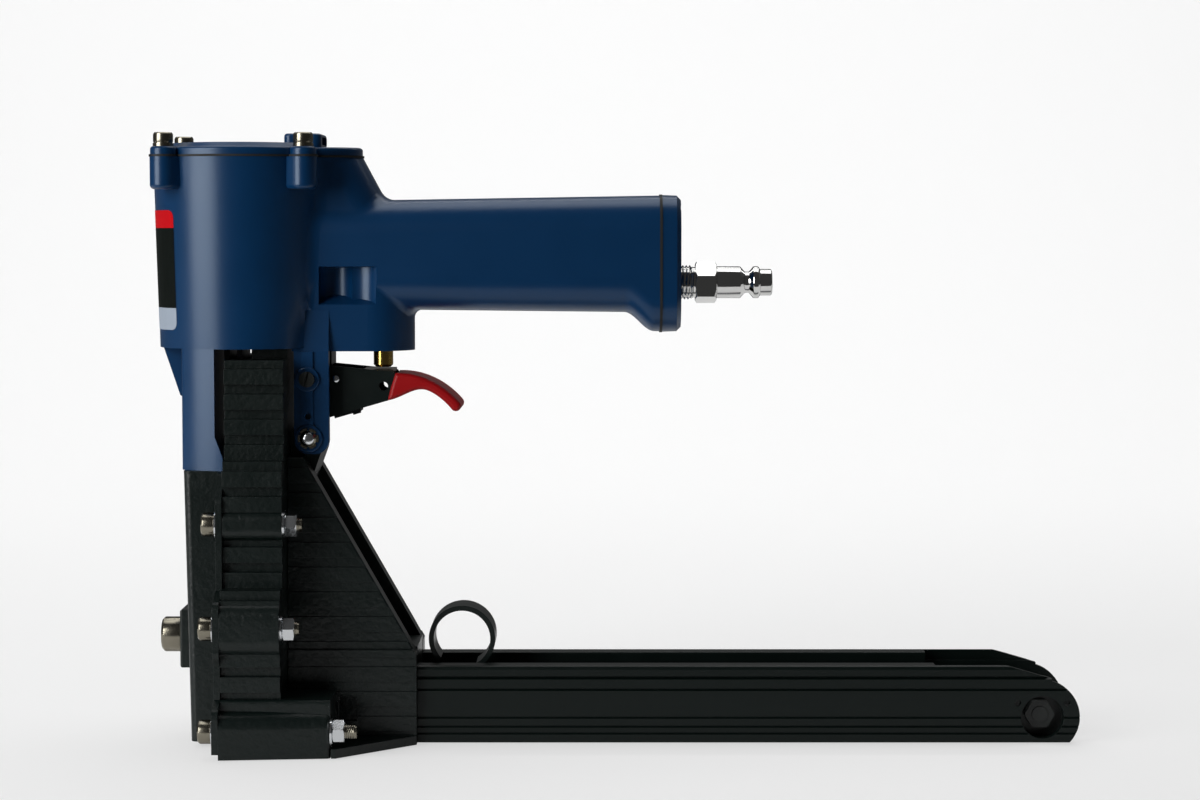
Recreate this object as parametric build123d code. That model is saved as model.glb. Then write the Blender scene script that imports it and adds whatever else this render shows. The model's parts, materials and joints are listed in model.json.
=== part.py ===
# Pneumatic carton stapler, built as an assembly of separate pieces, in millimetres.
# +X runs to the air plug, -Y is the side in the photograph, +Z is up.
# The origin is on the floor under the cylinder axis, where the staple leaves.
import math
import os
from build123d import *

# Fits shared by all pieces
RUN = 0.06
SLIDE = 0.6
PLAY = 0.4
OVER = 1.0

# Staple crown, driver blade and claw pivots
CROWN_HALF = 17.3
BLADE_HALF_T = 1.0
BLADE_REST_Z = 21.2
CLAW_HUB_R, CLAW_GAP, CLAW_Z = 3.8, 0.3, 24.0

# Cylinder barrel
BARREL_R, BARREL_TAPER = 33.3, 2.1
BARREL_Z0, BARREL_H = 148.0, 71.0
BARREL_WALL, BARREL_FLOOR = 6.3, 4.0
BOSS_R, BOSS_H, BOSS_OUT = 5.0, 12.0, 3.2

# Neck and handle
NECK_ROOT_X, NECK_REACH, NECK_SLOPE, NECK_IN = 8.0, 12.4, 8.5, 3.0
HANDLE_HALF_W, HANDLE_FLAT = 17.0, 4.5
HANDLE_DOWN, HANDLE_RISE = 15.8, 1.7
HANDLE_H, HANDLE_DROP = 41.2, 1.1
HANDLE_END_X, FLARE_LEN, FLARE_TIP, FLARE_DROP, FLARE_STEPS = 157.6, 11.5, 1.9, 7.1, 6
SHOULDER_ROUND, SEAM_ROUND = 6.0, 6.0

# Trigger valve lug and the pocket above it, whose two scoops are set from the barrel and the handle's side
STEM_X, STEM_R = 53.0, 3.7
LUG_H, LUG_IN, LUG_REACH, LUG_ROOT_X, LUG_ROUND = 15.3, 0.4, 12.0, 20.0, 3.0
POCKET_UP, POCKET_H, POCKET_DRAFT_LOW, POCKET_DRAFT_TOP = 2.0, 14.4, 0.42, 0.08
SCOOPS = ((3.2, -2.0, 6.5), (11.2, 3.0, 8.0))

# Strut and brackets under the barrel
STRUT_X0, STRUT_X1, STRUT_H, STRUT_ROUND = -20.2, -7.2, 45.0, 2.5
STRUT_TOE, STRUT_TOE_H, STRUT_TOE_SLOPE = 3.0, 4.8, 7.8
WEB_H, WEB_HALF_W = 22.0, 3.5
PIVOT_X, PIVOT_DOWN, PIVOT_R = 26.0, 10.3, 2.0
HANGER_X, HANGER_DOWN, PIN_R = 26.4, 33.7, 2.5
BRACKET_X0, BRACKET_X1, BRACKET_X1_FAR, BRACKET_H = 21.0, 34.0, 30.4, 39.6
BRACKET_Y, BRACKET_T, BRACKET_PROUD = 15.0, 4.0, 1.2
RIDGE_HALF_W, RIDGE_PROUD = 2.15, 0.8
PIVOT_BOSS_R, PIN_BOSS_R = 4.6, 5.2
SPARE_HOLE_UP, SPARE_HOLE_R, SPARE_HOLE_DEEP = 8.2, 1.15, 2.0

# Hollow inside of the handle
RESERVOIR_X, RESERVOIR_WALL, RESERVOIR_ROUND = 58.0, 5.6, 8.0
RESERVOIR_FLOOR, RESERVOIR_ROOF = 4.6, 5.2
PASSAGE_DOWN, PASSAGE_R = 13.2, 6.5

parts = {}


def box(x0, x1, y0, y1, z0, z1):
    return Pos((x0 + x1) / 2, (y0 + y1) / 2, (z0 + z1) / 2) * Box(x1 - x0, y1 - y0, z1 - z0)


def cyl_x(y, z, x0, x1, r):
    return Pos((x0 + x1) / 2, y, z) * Rot(0, 90, 0) * Cylinder(r, x1 - x0)


def cyl_y(x, z, y0, y1, r):
    return Pos(x, (y0 + y1) / 2, z) * Rot(90, 0, 0) * Cylinder(r, y1 - y0)


def cyl_z(x, y, z0, z1, r):
    return Pos(x, y, (z0 + z1) / 2) * Cylinder(r, z1 - z0)


# A ring about the cylinder axis or about another upright axis.
def ring(z0, z1, r_out, r_in, x=0.0):
    return cyl_z(x, 0, z0, z1, r_out) - cyl_z(x, 0, z0 - OVER, z1 + OVER, r_in)


# Rounds the named corners of a flat outline.
def rounded(face, places):
    for place, r in places:
        face = fillet(face.vertices().sort_by_distance(place)[0], r)
    return face


# Flat outlines given as (x, z), (y, z) or (x, y) and drawn out along the third axis.
def slab_y(points, y0, y1, rounds=()):
    face = make_face(Polyline(*[(x, y0, z) for x, z in points], close=True))
    face = rounded(face, [((x, y0, z), r) for (x, z), r in rounds])
    return extrude(face, amount=y1 - y0, dir=(0, 1, 0))


def slab_x(points, x0, x1, rounds=()):
    face = make_face(Polyline(*[(x0, y, z) for y, z in points], close=True))
    face = rounded(face, [((x0, y, z), r) for (y, z), r in rounds])
    return extrude(face, amount=x1 - x0, dir=(1, 0, 0))


def slab_z(points, z0, z1, rounds=()):
    face = make_face(Polyline(*[(x, y, z0) for x, y in points], close=True))
    face = rounded(face, [((x, y, z0), r) for (x, y), r in rounds])
    return extrude(face, amount=z1 - z0, dir=(0, 0, 1))


# A flat face inside joined lines and curves in the plane y = 0, drawn out to both sides.
def curved_y(lines, half_w):
    return extrude(make_face(lines), amount=half_w, dir=(0, 1, 0), both=True)


# A rounded rectangle standing across X, from z0 to z1.
def section(x, half_w, z0, z1, r):
    plane = Plane(origin=(x, 0, (z0 + z1) / 2), x_dir=(0, 1, 0), z_dir=(1, 0, 0))
    return plane * RectangleRounded(2 * half_w, z1 - z0, r)


def both(shape):
    return shape + mirror(shape, about=Plane.XZ)


def near_and_far(name, shape):
    parts[name + "_far"] = shape
    parts[name + "_near"] = mirror(shape, about=Plane.XZ)


# A hexagon prism along X, with two flats across Z.
def hex_x(y, z, x0, x1, flats):
    plane = Plane(origin=(x0, y, z), x_dir=(0, 1, 0), z_dir=(1, 0, 0))
    return extrude(plane * RegularPolygon(flats / 2, 6, major_radius=False), amount=x1 - x0)


# The two outer side edges of a drawn-out outline, between two places along X.
def side_edges(shape, x0, x1):
    long_edges = shape.edges().group_by(Axis.Y)[0] + shape.edges().group_by(Axis.Y)[-1]
    return long_edges.filter_by(lambda e: x0 < e.center().X < x1)


# Places that follow from the sizes above
nose_half_w = CROWN_HALF + SLIDE
claw_y = nose_half_w + CLAW_GAP + CLAW_HUB_R
barrel_z1 = BARREL_Z0 + BARREL_H
barrel_low_r = BARREL_R - BARREL_TAPER
bore_r = BARREL_R - BARREL_WALL
floor_z = BARREL_Z0 + BARREL_FLOOR
neck_x = BARREL_R + NECK_REACH
neck_foot_x = neck_x + NECK_SLOPE
neck_half_w = HANDLE_HALF_W - NECK_IN
neck_round = neck_half_w - OVER
root_top_z = barrel_z1 - HANDLE_DOWN
root_low_z = root_top_z - HANDLE_H
handle_top_z = root_top_z + HANDLE_RISE
handle_low_z = root_low_z - HANDLE_DROP
handle_round = HANDLE_HALF_W - HANDLE_FLAT
flare_x = HANDLE_END_X - FLARE_TIP - FLARE_LEN
flare_z = handle_low_z - FLARE_DROP
lug_z = root_low_z - LUG_H
strut_z = BARREL_Z0 - STRUT_H
trigger_pivot = (PIVOT_X, lug_z - PIVOT_DOWN)
hanger_pin = (HANGER_X, BARREL_Z0 - HANGER_DOWN)
bracket_face_y = BRACKET_Y + BRACKET_T + BRACKET_PROUD
screw_circle = BARREL_R + BOSS_OUT
screw_spots = [(screw_circle * math.cos(a), screw_circle * math.sin(a), math.degrees(a))
               for a in (math.pi * k / 4 for k in (1, 3, 5, 7))]

# Body casting: tapered barrel with four screw bosses
barrel = Pos(0, 0, BARREL_Z0 + BARREL_H / 2) * Cone(barrel_low_r, BARREL_R, BARREL_H)
boss = cyl_z(screw_circle, 0, barrel_z1 - BOSS_H, barrel_z1, BOSS_R)
boss += box(bore_r + OVER, screw_circle, -BOSS_R, BOSS_R, barrel_z1 - BOSS_H, barrel_z1)
boss = fillet(boss.edges().group_by(Axis.Z)[0].filter_by(lambda e: e.center().X > BARREL_R), BOSS_R / 3)
for x, y, turn in screw_spots:
    barrel += Rot(0, 0, turn) * boss

# Handle: rounded sections drawn along X, the lower side swelling out to a flare at the end
def handle_section(x):
    along = (x - neck_foot_x) / (HANDLE_END_X - neck_foot_x)
    swell = min(max((x - flare_x) / FLARE_LEN, 0.0), 1.0)
    low_z = root_low_z - HANDLE_DROP * along - FLARE_DROP * (1 - math.cos(math.pi * swell)) / 2
    return section(x, HANDLE_HALF_W, low_z, root_top_z + HANDLE_RISE * along, handle_round)


handle = loft([handle_section(NECK_ROOT_X), handle_section(flare_x)], ruled=True)
handle += loft([handle_section(flare_x + FLARE_LEN * k / FLARE_STEPS) for k in range(FLARE_STEPS + 1)])
handle += loft([handle_section(flare_x + FLARE_LEN), handle_section(HANDLE_END_X)], ruled=True)


# The lobe behind the barrel in plan, and the neck under it, which runs out along the rear slope.
def lobe_plan(rear_x, z, grow=0.0):
    size_x, size_y = rear_x - NECK_ROOT_X + 2 * grow, 2 * (neck_half_w + grow)
    return Pos((NECK_ROOT_X + rear_x) / 2, 0, z) * RectangleRounded(size_x, size_y, neck_round)


def neck_plan(z):
    return lobe_plan(neck_x + NECK_SLOPE * (barrel_z1 - z) / HANDLE_DOWN, z)


body = barrel + loft([neck_plan(root_top_z - handle_round), neck_plan(barrel_z1)], ruled=True) + handle


# Curved edges of the casting between two places along X and two heights, within neck or handle.
def blend_edges(x0, x1, z0, z1):
    def fits(edge):
        x, y, z = tuple(edge.center())
        half_w = neck_half_w if z > root_top_z - OVER else HANDLE_HALF_W
        return edge.geom_type != GeomType.LINE and x0 < x < x1 and z0 < z < z1 and abs(y) < half_w + PLAY
    return body.edges().filter_by(fits)


shoulder = blend_edges(barrel_low_r, neck_foot_x + OVER, root_top_z - handle_round, root_top_z + OVER)
body = fillet(shoulder, SHOULDER_ROUND)
seam = blend_edges(BARREL_R / 2, BARREL_R, BARREL_Z0 + BARREL_R / 3, barrel_z1 - OVER)
body = fillet(seam, SEAM_ROUND)

# Valve lug under the handle, round at the rear
lug_half_w = HANDLE_HALF_W - LUG_IN
lug_x1 = STEM_X + LUG_REACH
lug_x = lug_x1 - lug_half_w
lug_top_z = root_low_z + handle_round + OVER
lug = box(LUG_ROOT_X, lug_x, -lug_half_w, lug_half_w, lug_z, lug_top_z)
body += lug + cyl_z(lug_x, 0, lug_z, lug_top_z, lug_half_w)
lug_seam = body.edges().filter_by(lambda e: lug_x < e.center().X < lug_x1 + OVER
                                  and abs(e.center().Y) < lug_half_w
                                  and lug_z + OVER < e.center().Z < lug_top_z - OVER)
body = fillet(lug_seam, LUG_ROUND)

# Pockets in the sides above the lug: two upright scoops between a drafted floor and roof
pocket_z0 = root_low_z + POCKET_UP
pocket_z1 = pocket_z0 + POCKET_H


# The height of the pocket's floor or roof at a distance from the middle plane.
def pocket_line(y, z, draft):
    return (y, z + draft * (HANDLE_HALF_W - y))


pocket_y = (HANDLE_HALF_W / 4, HANDLE_HALF_W + OVER)
pocket_floor = [pocket_line(y, pocket_z0, POCKET_DRAFT_LOW) for y in pocket_y]
pocket_roof = [pocket_line(y, pocket_z1, -POCKET_DRAFT_TOP) for y in reversed(pocket_y)]
limits = slab_x(pocket_floor + pocket_roof, BARREL_R / 2, lug_x1)
for back, out, r in SCOOPS:
    scoop = cyl_z(BARREL_R + back, HANDLE_HALF_W + out, pocket_z0 - OVER, pocket_z1 + OVER, r)
    body -= both(scoop & limits)

# Front strut with a toe on each side, cut from the round of the barrel, and its tapering web
toe_x = STRUT_X1 + STRUT_TOE
toe_z = strut_z + STRUT_TOE_H
web_z = BARREL_Z0 - WEB_H
joint_z = BARREL_Z0 + OVER
strut = cyl_z(0, 0, strut_z, joint_z, barrel_low_r - PLAY / 2)
strut &= slab_y([(STRUT_X0, strut_z), (toe_x, strut_z), (toe_x, toe_z), (STRUT_X1, toe_z + STRUT_TOE_SLOPE),
                 (STRUT_X1, joint_z), (STRUT_X0, joint_z)], -BARREL_R, BARREL_R)
strut = fillet(strut.edges().filter_by(Axis.Z).group_by(Axis.X)[0], STRUT_ROUND)
strut -= box(STRUT_X1, toe_x + OVER, -nose_half_w - PLAY, nose_half_w + PLAY, strut_z - OVER, joint_z + OVER)
strut += slab_y([(OVER - barrel_low_r, joint_z), (STRUT_X0 - WEB_HALF_W, web_z + WEB_HALF_W),
                 (STRUT_X0 + WEB_HALF_W, web_z), (STRUT_X0 + WEB_HALF_W, joint_z)], -WEB_HALF_W, WEB_HALF_W)
body += strut


# A rear bracket on the far side: plate, two bosses and the ridge between them
def bracket_boss(x, z, r):
    disc = cyl_y(x, z, BRACKET_Y, bracket_face_y, r)
    return fillet(disc.edges().group_by(Axis.Y)[-1], BRACKET_PROUD / 3)


def bracket(rear_x):
    px, pz = trigger_pivot
    hx, hz = hanger_pin
    face_y, low_z = BRACKET_Y + BRACKET_T, BARREL_Z0 - BRACKET_H
    low_corners = [(BRACKET_X0, low_z), (rear_x, low_z)]
    shape = slab_y([(BRACKET_X0, root_low_z)] + low_corners + [(rear_x, root_low_z)], BRACKET_Y, face_y,
                   [(corner, (rear_x - BRACKET_X0) * 0.4) for corner in low_corners])
    shape += bracket_boss(hx, hz, min(PIN_BOSS_R, rear_x - hx))
    shape += bracket_boss(px, pz, min(PIVOT_BOSS_R, rear_x - px))
    shape += box(px - RIDGE_HALF_W, px + RIDGE_HALF_W, BRACKET_Y, face_y + RIDGE_PROUD, hz, lug_z)
    shape -= cyl_y(px, pz, 0, bracket_face_y + OVER, PIVOT_R)
    shape -= cyl_y(hx, hz, 0, bracket_face_y + OVER, PIN_R)
    return shape - cyl_y(hx, hz + SPARE_HOLE_UP, face_y - SPARE_HOLE_DEEP, bracket_face_y, SPARE_HOLE_R)


body += bracket(BRACKET_X1_FAR) + mirror(bracket(BRACKET_X1), about=Plane.XZ)

# Bore, driver slot, air passage, reservoir in the handle and valve bore
SHANK_HALF, SHANK_DOWN = 12.0, 4.0
SLOT_HALF_T = 2.0
BUSH_R, BUSH_LEN = 7.0, 15.3
VALVE_BORE_R, VALVE_BORE_LEN, VALVE_PORT_DOWN = 4.0, 22.0, 3.0
reservoir_w = HANDLE_HALF_W - RESERVOIR_WALL
bush_z1 = lug_z + BUSH_LEN
valve_top_z = bush_z1 + VALVE_BORE_LEN


def reservoir_section(x):
    return section(x, reservoir_w, root_low_z + RESERVOIR_FLOOR, root_top_z - RESERVOIR_ROOF, RESERVOIR_ROUND)


body -= cyl_z(0, 0, floor_z, barrel_z1 + OVER, bore_r)
slot_half_w = SHANK_HALF + SLIDE
body -= box(-SLOT_HALF_T, SLOT_HALF_T, -slot_half_w, slot_half_w, BARREL_Z0 - OVER, floor_z + OVER)
body -= cyl_x(0, root_top_z - PASSAGE_DOWN, bore_r - PASSAGE_R, RESERVOIR_X + PASSAGE_R, PASSAGE_R)
body -= loft([reservoir_section(RESERVOIR_X), reservoir_section(HANDLE_END_X + OVER)], ruled=True)
body -= cyl_z(STEM_X, 0, lug_z - OVER, bush_z1 + OVER, BUSH_R)
body -= cyl_z(STEM_X, 0, bush_z1, valve_top_z, VALVE_BORE_R)
body -= cyl_x(0, valve_top_z - VALVE_PORT_DOWN, STEM_X, RESERVOIR_X + VALVE_BORE_R, VALVE_BORE_R)

# Threaded holes for the cap screws and the end cap screws
CAP_SCREW_R, CAP_SCREW_DEEP = 2.0, 10.0
END_SCREW_R, END_SCREW_DEEP = 1.25, 8.0
END_SCREW_IN, END_SCREW_TOP, END_SCREW_LOW = 7.0, 6.3, 5.2
end_screw_spots = [(0.0, flare_z + END_SCREW_LOW)]
end_screw_spots += [(side * (HANDLE_HALF_W - END_SCREW_IN), handle_top_z - END_SCREW_TOP) for side in (-1, 1)]
for x, y, turn in screw_spots:
    body -= cyl_z(x, y, barrel_z1 - CAP_SCREW_DEEP, barrel_z1 + OVER, CAP_SCREW_R)
for y, z in end_screw_spots:
    body -= cyl_x(y, z, HANDLE_END_X - END_SCREW_DEEP, HANDLE_END_X + OVER, END_SCREW_R)
parts["body_casting"] = body

# Cylinder cap with its gasket: the barrel circle, the rear lobe and four screw bosses
GASKET_T, GASKET_PROUD = 0.8, 0.3
CAP_T, CAP_INSET, CAP_EDGE = 3.0, 0.2, 1.2
DOME_H, DOME_BEVEL = 1.6, 1.5
EXHAUST_X0, EXHAUST_LEN, EXHAUST_IN, EXHAUST_H = 17.0, 14.0, 2.0, 5.2
EXHAUST_ROUND, EXHAUST_SLOT = 2.5, 3.0
CAP_RECESS = 1.6
SCREW_HEAD_R, SCREW_HEAD_H, SCREW_KEY = 3.5, 4.0, 3.0
SPRING_WASHER_R, SPRING_WASHER_T, WASHER_SPLIT = 3.8, 1.1, 0.6
cap_z0 = barrel_z1 + GASKET_T
cap_z1 = cap_z0 + CAP_T
exhaust_x1, exhaust_y = EXHAUST_X0 + EXHAUST_LEN, neck_half_w - EXHAUST_IN


def cap_plate(z0, z1, grow):
    plate = cyl_z(0, 0, z0, z1, BARREL_R + grow) + extrude(lobe_plan(neck_x, z0, grow), amount=z1 - z0)
    for x, y, turn in screw_spots:
        plate += cyl_z(x, y, z0, z1, BOSS_R + grow)
    return plate


cap_gasket = cap_plate(barrel_z1, cap_z0, GASKET_PROUD) - cyl_z(0, 0, barrel_z1 - OVER, cap_z0 + OVER, bore_r)
cap = cap_plate(cap_z0, cap_z1, -CAP_INSET)
cap = fillet(cap.edges().group_by(Axis.Z)[-1], CAP_EDGE)
dome = cyl_z(0, 0, cap_z1 - OVER, cap_z1 + DOME_H, bore_r + OVER)
cap += chamfer(dome.edges().group_by(Axis.Z)[-1], DOME_BEVEL)
exhaust = box(EXHAUST_X0, exhaust_x1, -exhaust_y, exhaust_y, cap_z1 - OVER, cap_z1 + EXHAUST_H)
exhaust = fillet(exhaust.edges().filter_by(Axis.Z), EXHAUST_ROUND)
cap += fillet(exhaust.edges().group_by(Axis.Z)[-1], CAP_EDGE)
cap -= box(exhaust_x1 - EXHAUST_ROUND * 1.6, exhaust_x1 + OVER, -exhaust_y * 0.65, exhaust_y * 0.65,
           cap_z1 + OVER, cap_z1 + OVER + EXHAUST_SLOT)
cap -= cyl_z(0, 0, barrel_z1, cap_z0 + CAP_RECESS, bore_r - RESERVOIR_WALL + PLAY)

# Cap screws with socket heads on split spring washers
cap_screws, cap_washers = [], []
seat_z = cap_z1 + SPRING_WASHER_T
for x, y, turn in screw_spots:
    cap_gasket -= cyl_z(x, y, barrel_z1 - OVER, cap_z0 + OVER, CAP_SCREW_R + PLAY / 2)
    cap -= cyl_z(x, y, barrel_z1, cap_z1 + OVER, CAP_SCREW_R + PLAY / 2)
    cap -= cyl_z(x, y, cap_z1, cap_z1 + EXHAUST_H + OVER, SPRING_WASHER_R + SLIDE)
    screw = cyl_z(x, y, seat_z, seat_z + SCREW_HEAD_H, SCREW_HEAD_R)
    screw = chamfer(screw.edges().group_by(Axis.Z)[-1], PLAY)
    screw += cyl_z(x, y, barrel_z1 - CAP_SCREW_DEEP + OVER, seat_z + PLAY, CAP_SCREW_R)
    key = RegularPolygon(SCREW_KEY / 2, 6, major_radius=False)
    cap_screws.append(screw - Pos(x, y, seat_z + SCREW_HEAD_H / 2) * extrude(key, amount=SCREW_HEAD_H))
    washer = ring(cap_z1, seat_z, SPRING_WASHER_R, CAP_SCREW_R + PLAY / 4)
    washer -= box(CAP_SCREW_R / 2, SPRING_WASHER_R + OVER, -WASHER_SPLIT / 2, WASHER_SPLIT / 2,
                  cap_z1 - OVER, seat_z + OVER)
    cap_washers.append(Pos(x, y, 0) * washer)
parts["cap_gasket"] = cap_gasket
parts["cylinder_cap"] = cap
parts["cap_screws"] = Compound(children=cap_screws)
parts["cap_washers"] = Compound(children=cap_washers)

# Handle end: gasket, cap and its screws
END_GASKET_T, END_GASKET_PROUD = 1.0, 0.4
END_CAP_T, END_BEVEL = 7.0, 1.6
END_HEAD_R, END_HEAD_H, END_HEAD_SUNK, END_KEY = 2.4, 2.7, 0.9, 2.0
gasket_x = HANDLE_END_X + END_GASKET_T
end_x = gasket_x + END_CAP_T


# The handle's end outline, grown by a margin.
def end_section(x, grow):
    return section(x, HANDLE_HALF_W + grow, flare_z - grow, handle_top_z + grow, handle_round + grow / 2)


gasket = loft([end_section(x, END_GASKET_PROUD) for x in (HANDLE_END_X, gasket_x)], ruled=True)
gasket -= loft([reservoir_section(HANDLE_END_X - OVER), reservoir_section(gasket_x + OVER)], ruled=True)
end_cap = loft([end_section(gasket_x, END_GASKET_PROUD / 2), end_section(end_x - END_BEVEL, 0)], ruled=True)
end_cap += loft([end_section(end_x - END_BEVEL, 0), end_section(end_x, -END_BEVEL)], ruled=True)
head_x = end_x - END_HEAD_SUNK - END_HEAD_H
end_screws = []
for y, z in end_screw_spots:
    gasket -= cyl_x(y, z, HANDLE_END_X - OVER, gasket_x + OVER, END_SCREW_R + PLAY / 2)
    end_cap -= cyl_x(y, z, gasket_x - OVER, end_x + OVER, END_SCREW_R + PLAY / 2)
    end_cap -= cyl_x(y, z, head_x, end_x + OVER, END_HEAD_R + PLAY / 2)
    screw = cyl_x(y, z, head_x, head_x + END_HEAD_H, END_HEAD_R)
    screw += cyl_x(y, z, HANDLE_END_X - END_SCREW_DEEP + OVER, head_x + PLAY, END_SCREW_R)
    end_screws.append(screw - hex_x(y, z, head_x + END_HEAD_H / 2, end_x, END_KEY))

# Air plug: thread, hexagon, body, groove and nose turned about one axis
PLUG_UP, PLUG_BORE_R = 18.4, 3.0
THREAD_R, THREAD_IN, THREAD_OUT = 6.58, 6.0, 5.6
HEX_FLATS, HEX_W, HEX_CORNER_R = 14.0, 8.0, 7.75
PLUG_R, PLUG_LEN, GROOVE_R, GROOVE_W, GROOVE_SLOPE = 6.0, 9.2, 4.0, 1.4, 1.7
COLLAR_W, NOSE_R, NOSE_LEN, NOSE_BEVEL = 2.0, 5.0, 4.4, 0.7
plug_z = flare_z + PLUG_UP
end_cap -= cyl_x(0, plug_z, gasket_x - OVER, end_x + OVER, THREAD_R)
hex_x0 = end_x + THREAD_OUT
hex_x1 = hex_x0 + HEX_W
groove_x = hex_x1 + PLUG_LEN
collar_x = groove_x + 2 * GROOVE_SLOPE + GROOVE_W
nose_x = collar_x + COLLAR_W
nose_end_x = nose_x + NOSE_BEVEL + NOSE_LEN
plug_line = [(end_x - THREAD_IN, 0), (end_x - THREAD_IN, THREAD_R - NOSE_BEVEL),
             (end_x - THREAD_IN + NOSE_BEVEL, THREAD_R), (hex_x0 - NOSE_BEVEL, THREAD_R), (hex_x0, PLUG_R),
             (groove_x, PLUG_R), (groove_x + GROOVE_SLOPE, GROOVE_R), (collar_x - GROOVE_SLOPE, GROOVE_R),
             (collar_x, PLUG_R), (nose_x, PLUG_R), (nose_x + NOSE_BEVEL, NOSE_R),
             (nose_end_x - NOSE_BEVEL, NOSE_R), (nose_end_x, NOSE_R - NOSE_BEVEL), (nose_end_x, 0)]
plug_face = make_face(Polyline(*[(x, 0, plug_z + r) for x, r in plug_line], close=True))
plug = revolve(plug_face, Axis((0, 0, plug_z), (1, 0, 0)))
plug += hex_x(0, plug_z, hex_x0, hex_x1, HEX_FLATS) & cyl_x(0, plug_z, hex_x0, hex_x1, HEX_CORNER_R)
plug -= cyl_x(0, plug_z, HANDLE_END_X, nose_end_x + OVER, PLUG_BORE_R)
parts["handle_gasket"] = gasket
parts["handle_end_cap"] = end_cap
parts["end_cap_screws"] = Compound(children=end_screws)
parts["air_plug"] = plug

# Cylinder inside: liner, head valve, piston with seal, bumper and springs
LINER_GAP, LINER_WALL, LINER_FLANGE, LINER_DOWN = 1.0, 1.5, 6.0, 13.0
HEAD_VALVE_T, HEAD_VALVE_PLAY, HEAD_POST_R, HEAD_POST_H = 5.6, 0.6, 6.0, 4.0
HEAD_SPRING_R, HEAD_SPRING_WALL = 10.0, 2.4
PISTON_DOWN, PISTON_H, PISTON_PLAY, BLADE_ROOT = 2.0, 13.0, 0.5, 9.0
SEAL_Z, SEAL_H, SEAL_DEEP, SEAL_PLAY = 5.0, 3.2, 2.0, 0.08
BUMPER_H, RETURN_SPRING_PLAY, RETURN_SPRING_WALL = 14.0, 0.9, 2.8
liner_r = bore_r - LINER_GAP
liner_in = liner_r - LINER_WALL
liner_z1 = barrel_z1 - LINER_DOWN
piston_r = liner_in - PISTON_PLAY
piston_z1 = liner_z1 - PISTON_DOWN
piston_z0 = piston_z1 - PISTON_H
seal_z0 = piston_z0 + SEAL_Z
head_z0 = liner_z1 + PLAY
head_z1 = head_z0 + HEAD_VALVE_T
liner = ring(floor_z, liner_z1, liner_r, liner_in) + ring(floor_z, floor_z + LINER_FLANGE, bore_r, liner_in)
parts["cylinder_liner"] = liner
parts["head_valve"] = (cyl_z(0, 0, head_z0, head_z1, bore_r - HEAD_VALVE_PLAY)
                       + cyl_z(0, 0, head_z1 - OVER, head_z1 + HEAD_POST_H, HEAD_POST_R))
head_spring_in = HEAD_SPRING_R - HEAD_SPRING_WALL
parts["head_valve_spring"] = ring(head_z1, cap_z0 + CAP_RECESS, HEAD_SPRING_R, head_spring_in)
seal_groove = ring(seal_z0, seal_z0 + SEAL_H, piston_r + OVER, piston_r - SEAL_DEEP)
piston = cyl_z(0, 0, piston_z0, piston_z1, piston_r) - seal_groove
shank_z1 = piston_z0 + BLADE_ROOT
piston -= box(-BLADE_HALF_T, BLADE_HALF_T, -SHANK_HALF, SHANK_HALF, piston_z0 - OVER, shank_z1)
parts["piston"] = piston
parts["piston_seal"] = ring(seal_z0, seal_z0 + SEAL_H, liner_in - SEAL_PLAY, piston_r - SEAL_DEEP)
spring_r = liner_in - RETURN_SPRING_PLAY
spring_in = spring_r - RETURN_SPRING_WALL
parts["return_spring"] = ring(floor_z, piston_z0 - PLAY, spring_r, spring_in)
bumper = cyl_z(0, 0, floor_z, floor_z + BUMPER_H, spring_in - SLIDE)
parts["bumper"] = bumper - box(-SLOT_HALF_T, SLOT_HALF_T, -slot_half_w, slot_half_w,
                               floor_z - OVER, floor_z + BUMPER_H + OVER)

# Driver blade with a narrower shank, and a push bar for each claw riveted behind it
BAR_T, BAR_ROOT_W, BAR_IN, BAR_W, BAR_DOWN, BAR_ROOT_H = 2.0, 9.3, 2.0, 6.0, 4.0, 18.0
BAR_KNEE_UP, BAR_FOOT_UP, BAR_FOOT_H, BAR_FOOT_IN, BAR_FOOT_W = 26.0, 14.4, 5.6, 14.0, 4.4
RIVET_R, RIVET_HEAD_R, RIVET_HEAD_H, RIVET_IN, RIVET_PITCH = 1.5, 2.4, 1.2, 4.3, 8.0
bar_x1 = BLADE_HALF_T + BAR_T
shank_z = BARREL_Z0 - SHANK_DOWN
bar_z1 = shank_z - BAR_DOWN
bar_z0 = bar_z1 - BAR_ROOT_H
knee_z, foot_z = CLAW_Z + BAR_KNEE_UP, CLAW_Z + BAR_FOOT_UP
root_y, bar_y0 = CROWN_HALF - BAR_ROOT_W, claw_y + BAR_IN
bar_y1 = bar_y0 + BAR_W
foot_y0 = claw_y + BAR_FOOT_IN
foot_y1 = foot_y0 + BAR_FOOT_W
blade = box(-BLADE_HALF_T, BLADE_HALF_T, -CROWN_HALF, CROWN_HALF, BLADE_REST_Z, shank_z)
blade += box(-BLADE_HALF_T, BLADE_HALF_T, -SHANK_HALF, SHANK_HALF, shank_z, shank_z1)
bar = slab_x([(root_y, bar_z1), (bar_y1, bar_z1), (bar_y1, knee_z + BAR_FOOT_H), (foot_y1, knee_z),
              (foot_y1, foot_z), (foot_y0, foot_z), (foot_y0, foot_z + BAR_FOOT_H), (bar_y0, knee_z),
              (bar_y0, bar_z0), (root_y, bar_z0)], BLADE_HALF_T, bar_x1)
rivets = []
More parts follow.
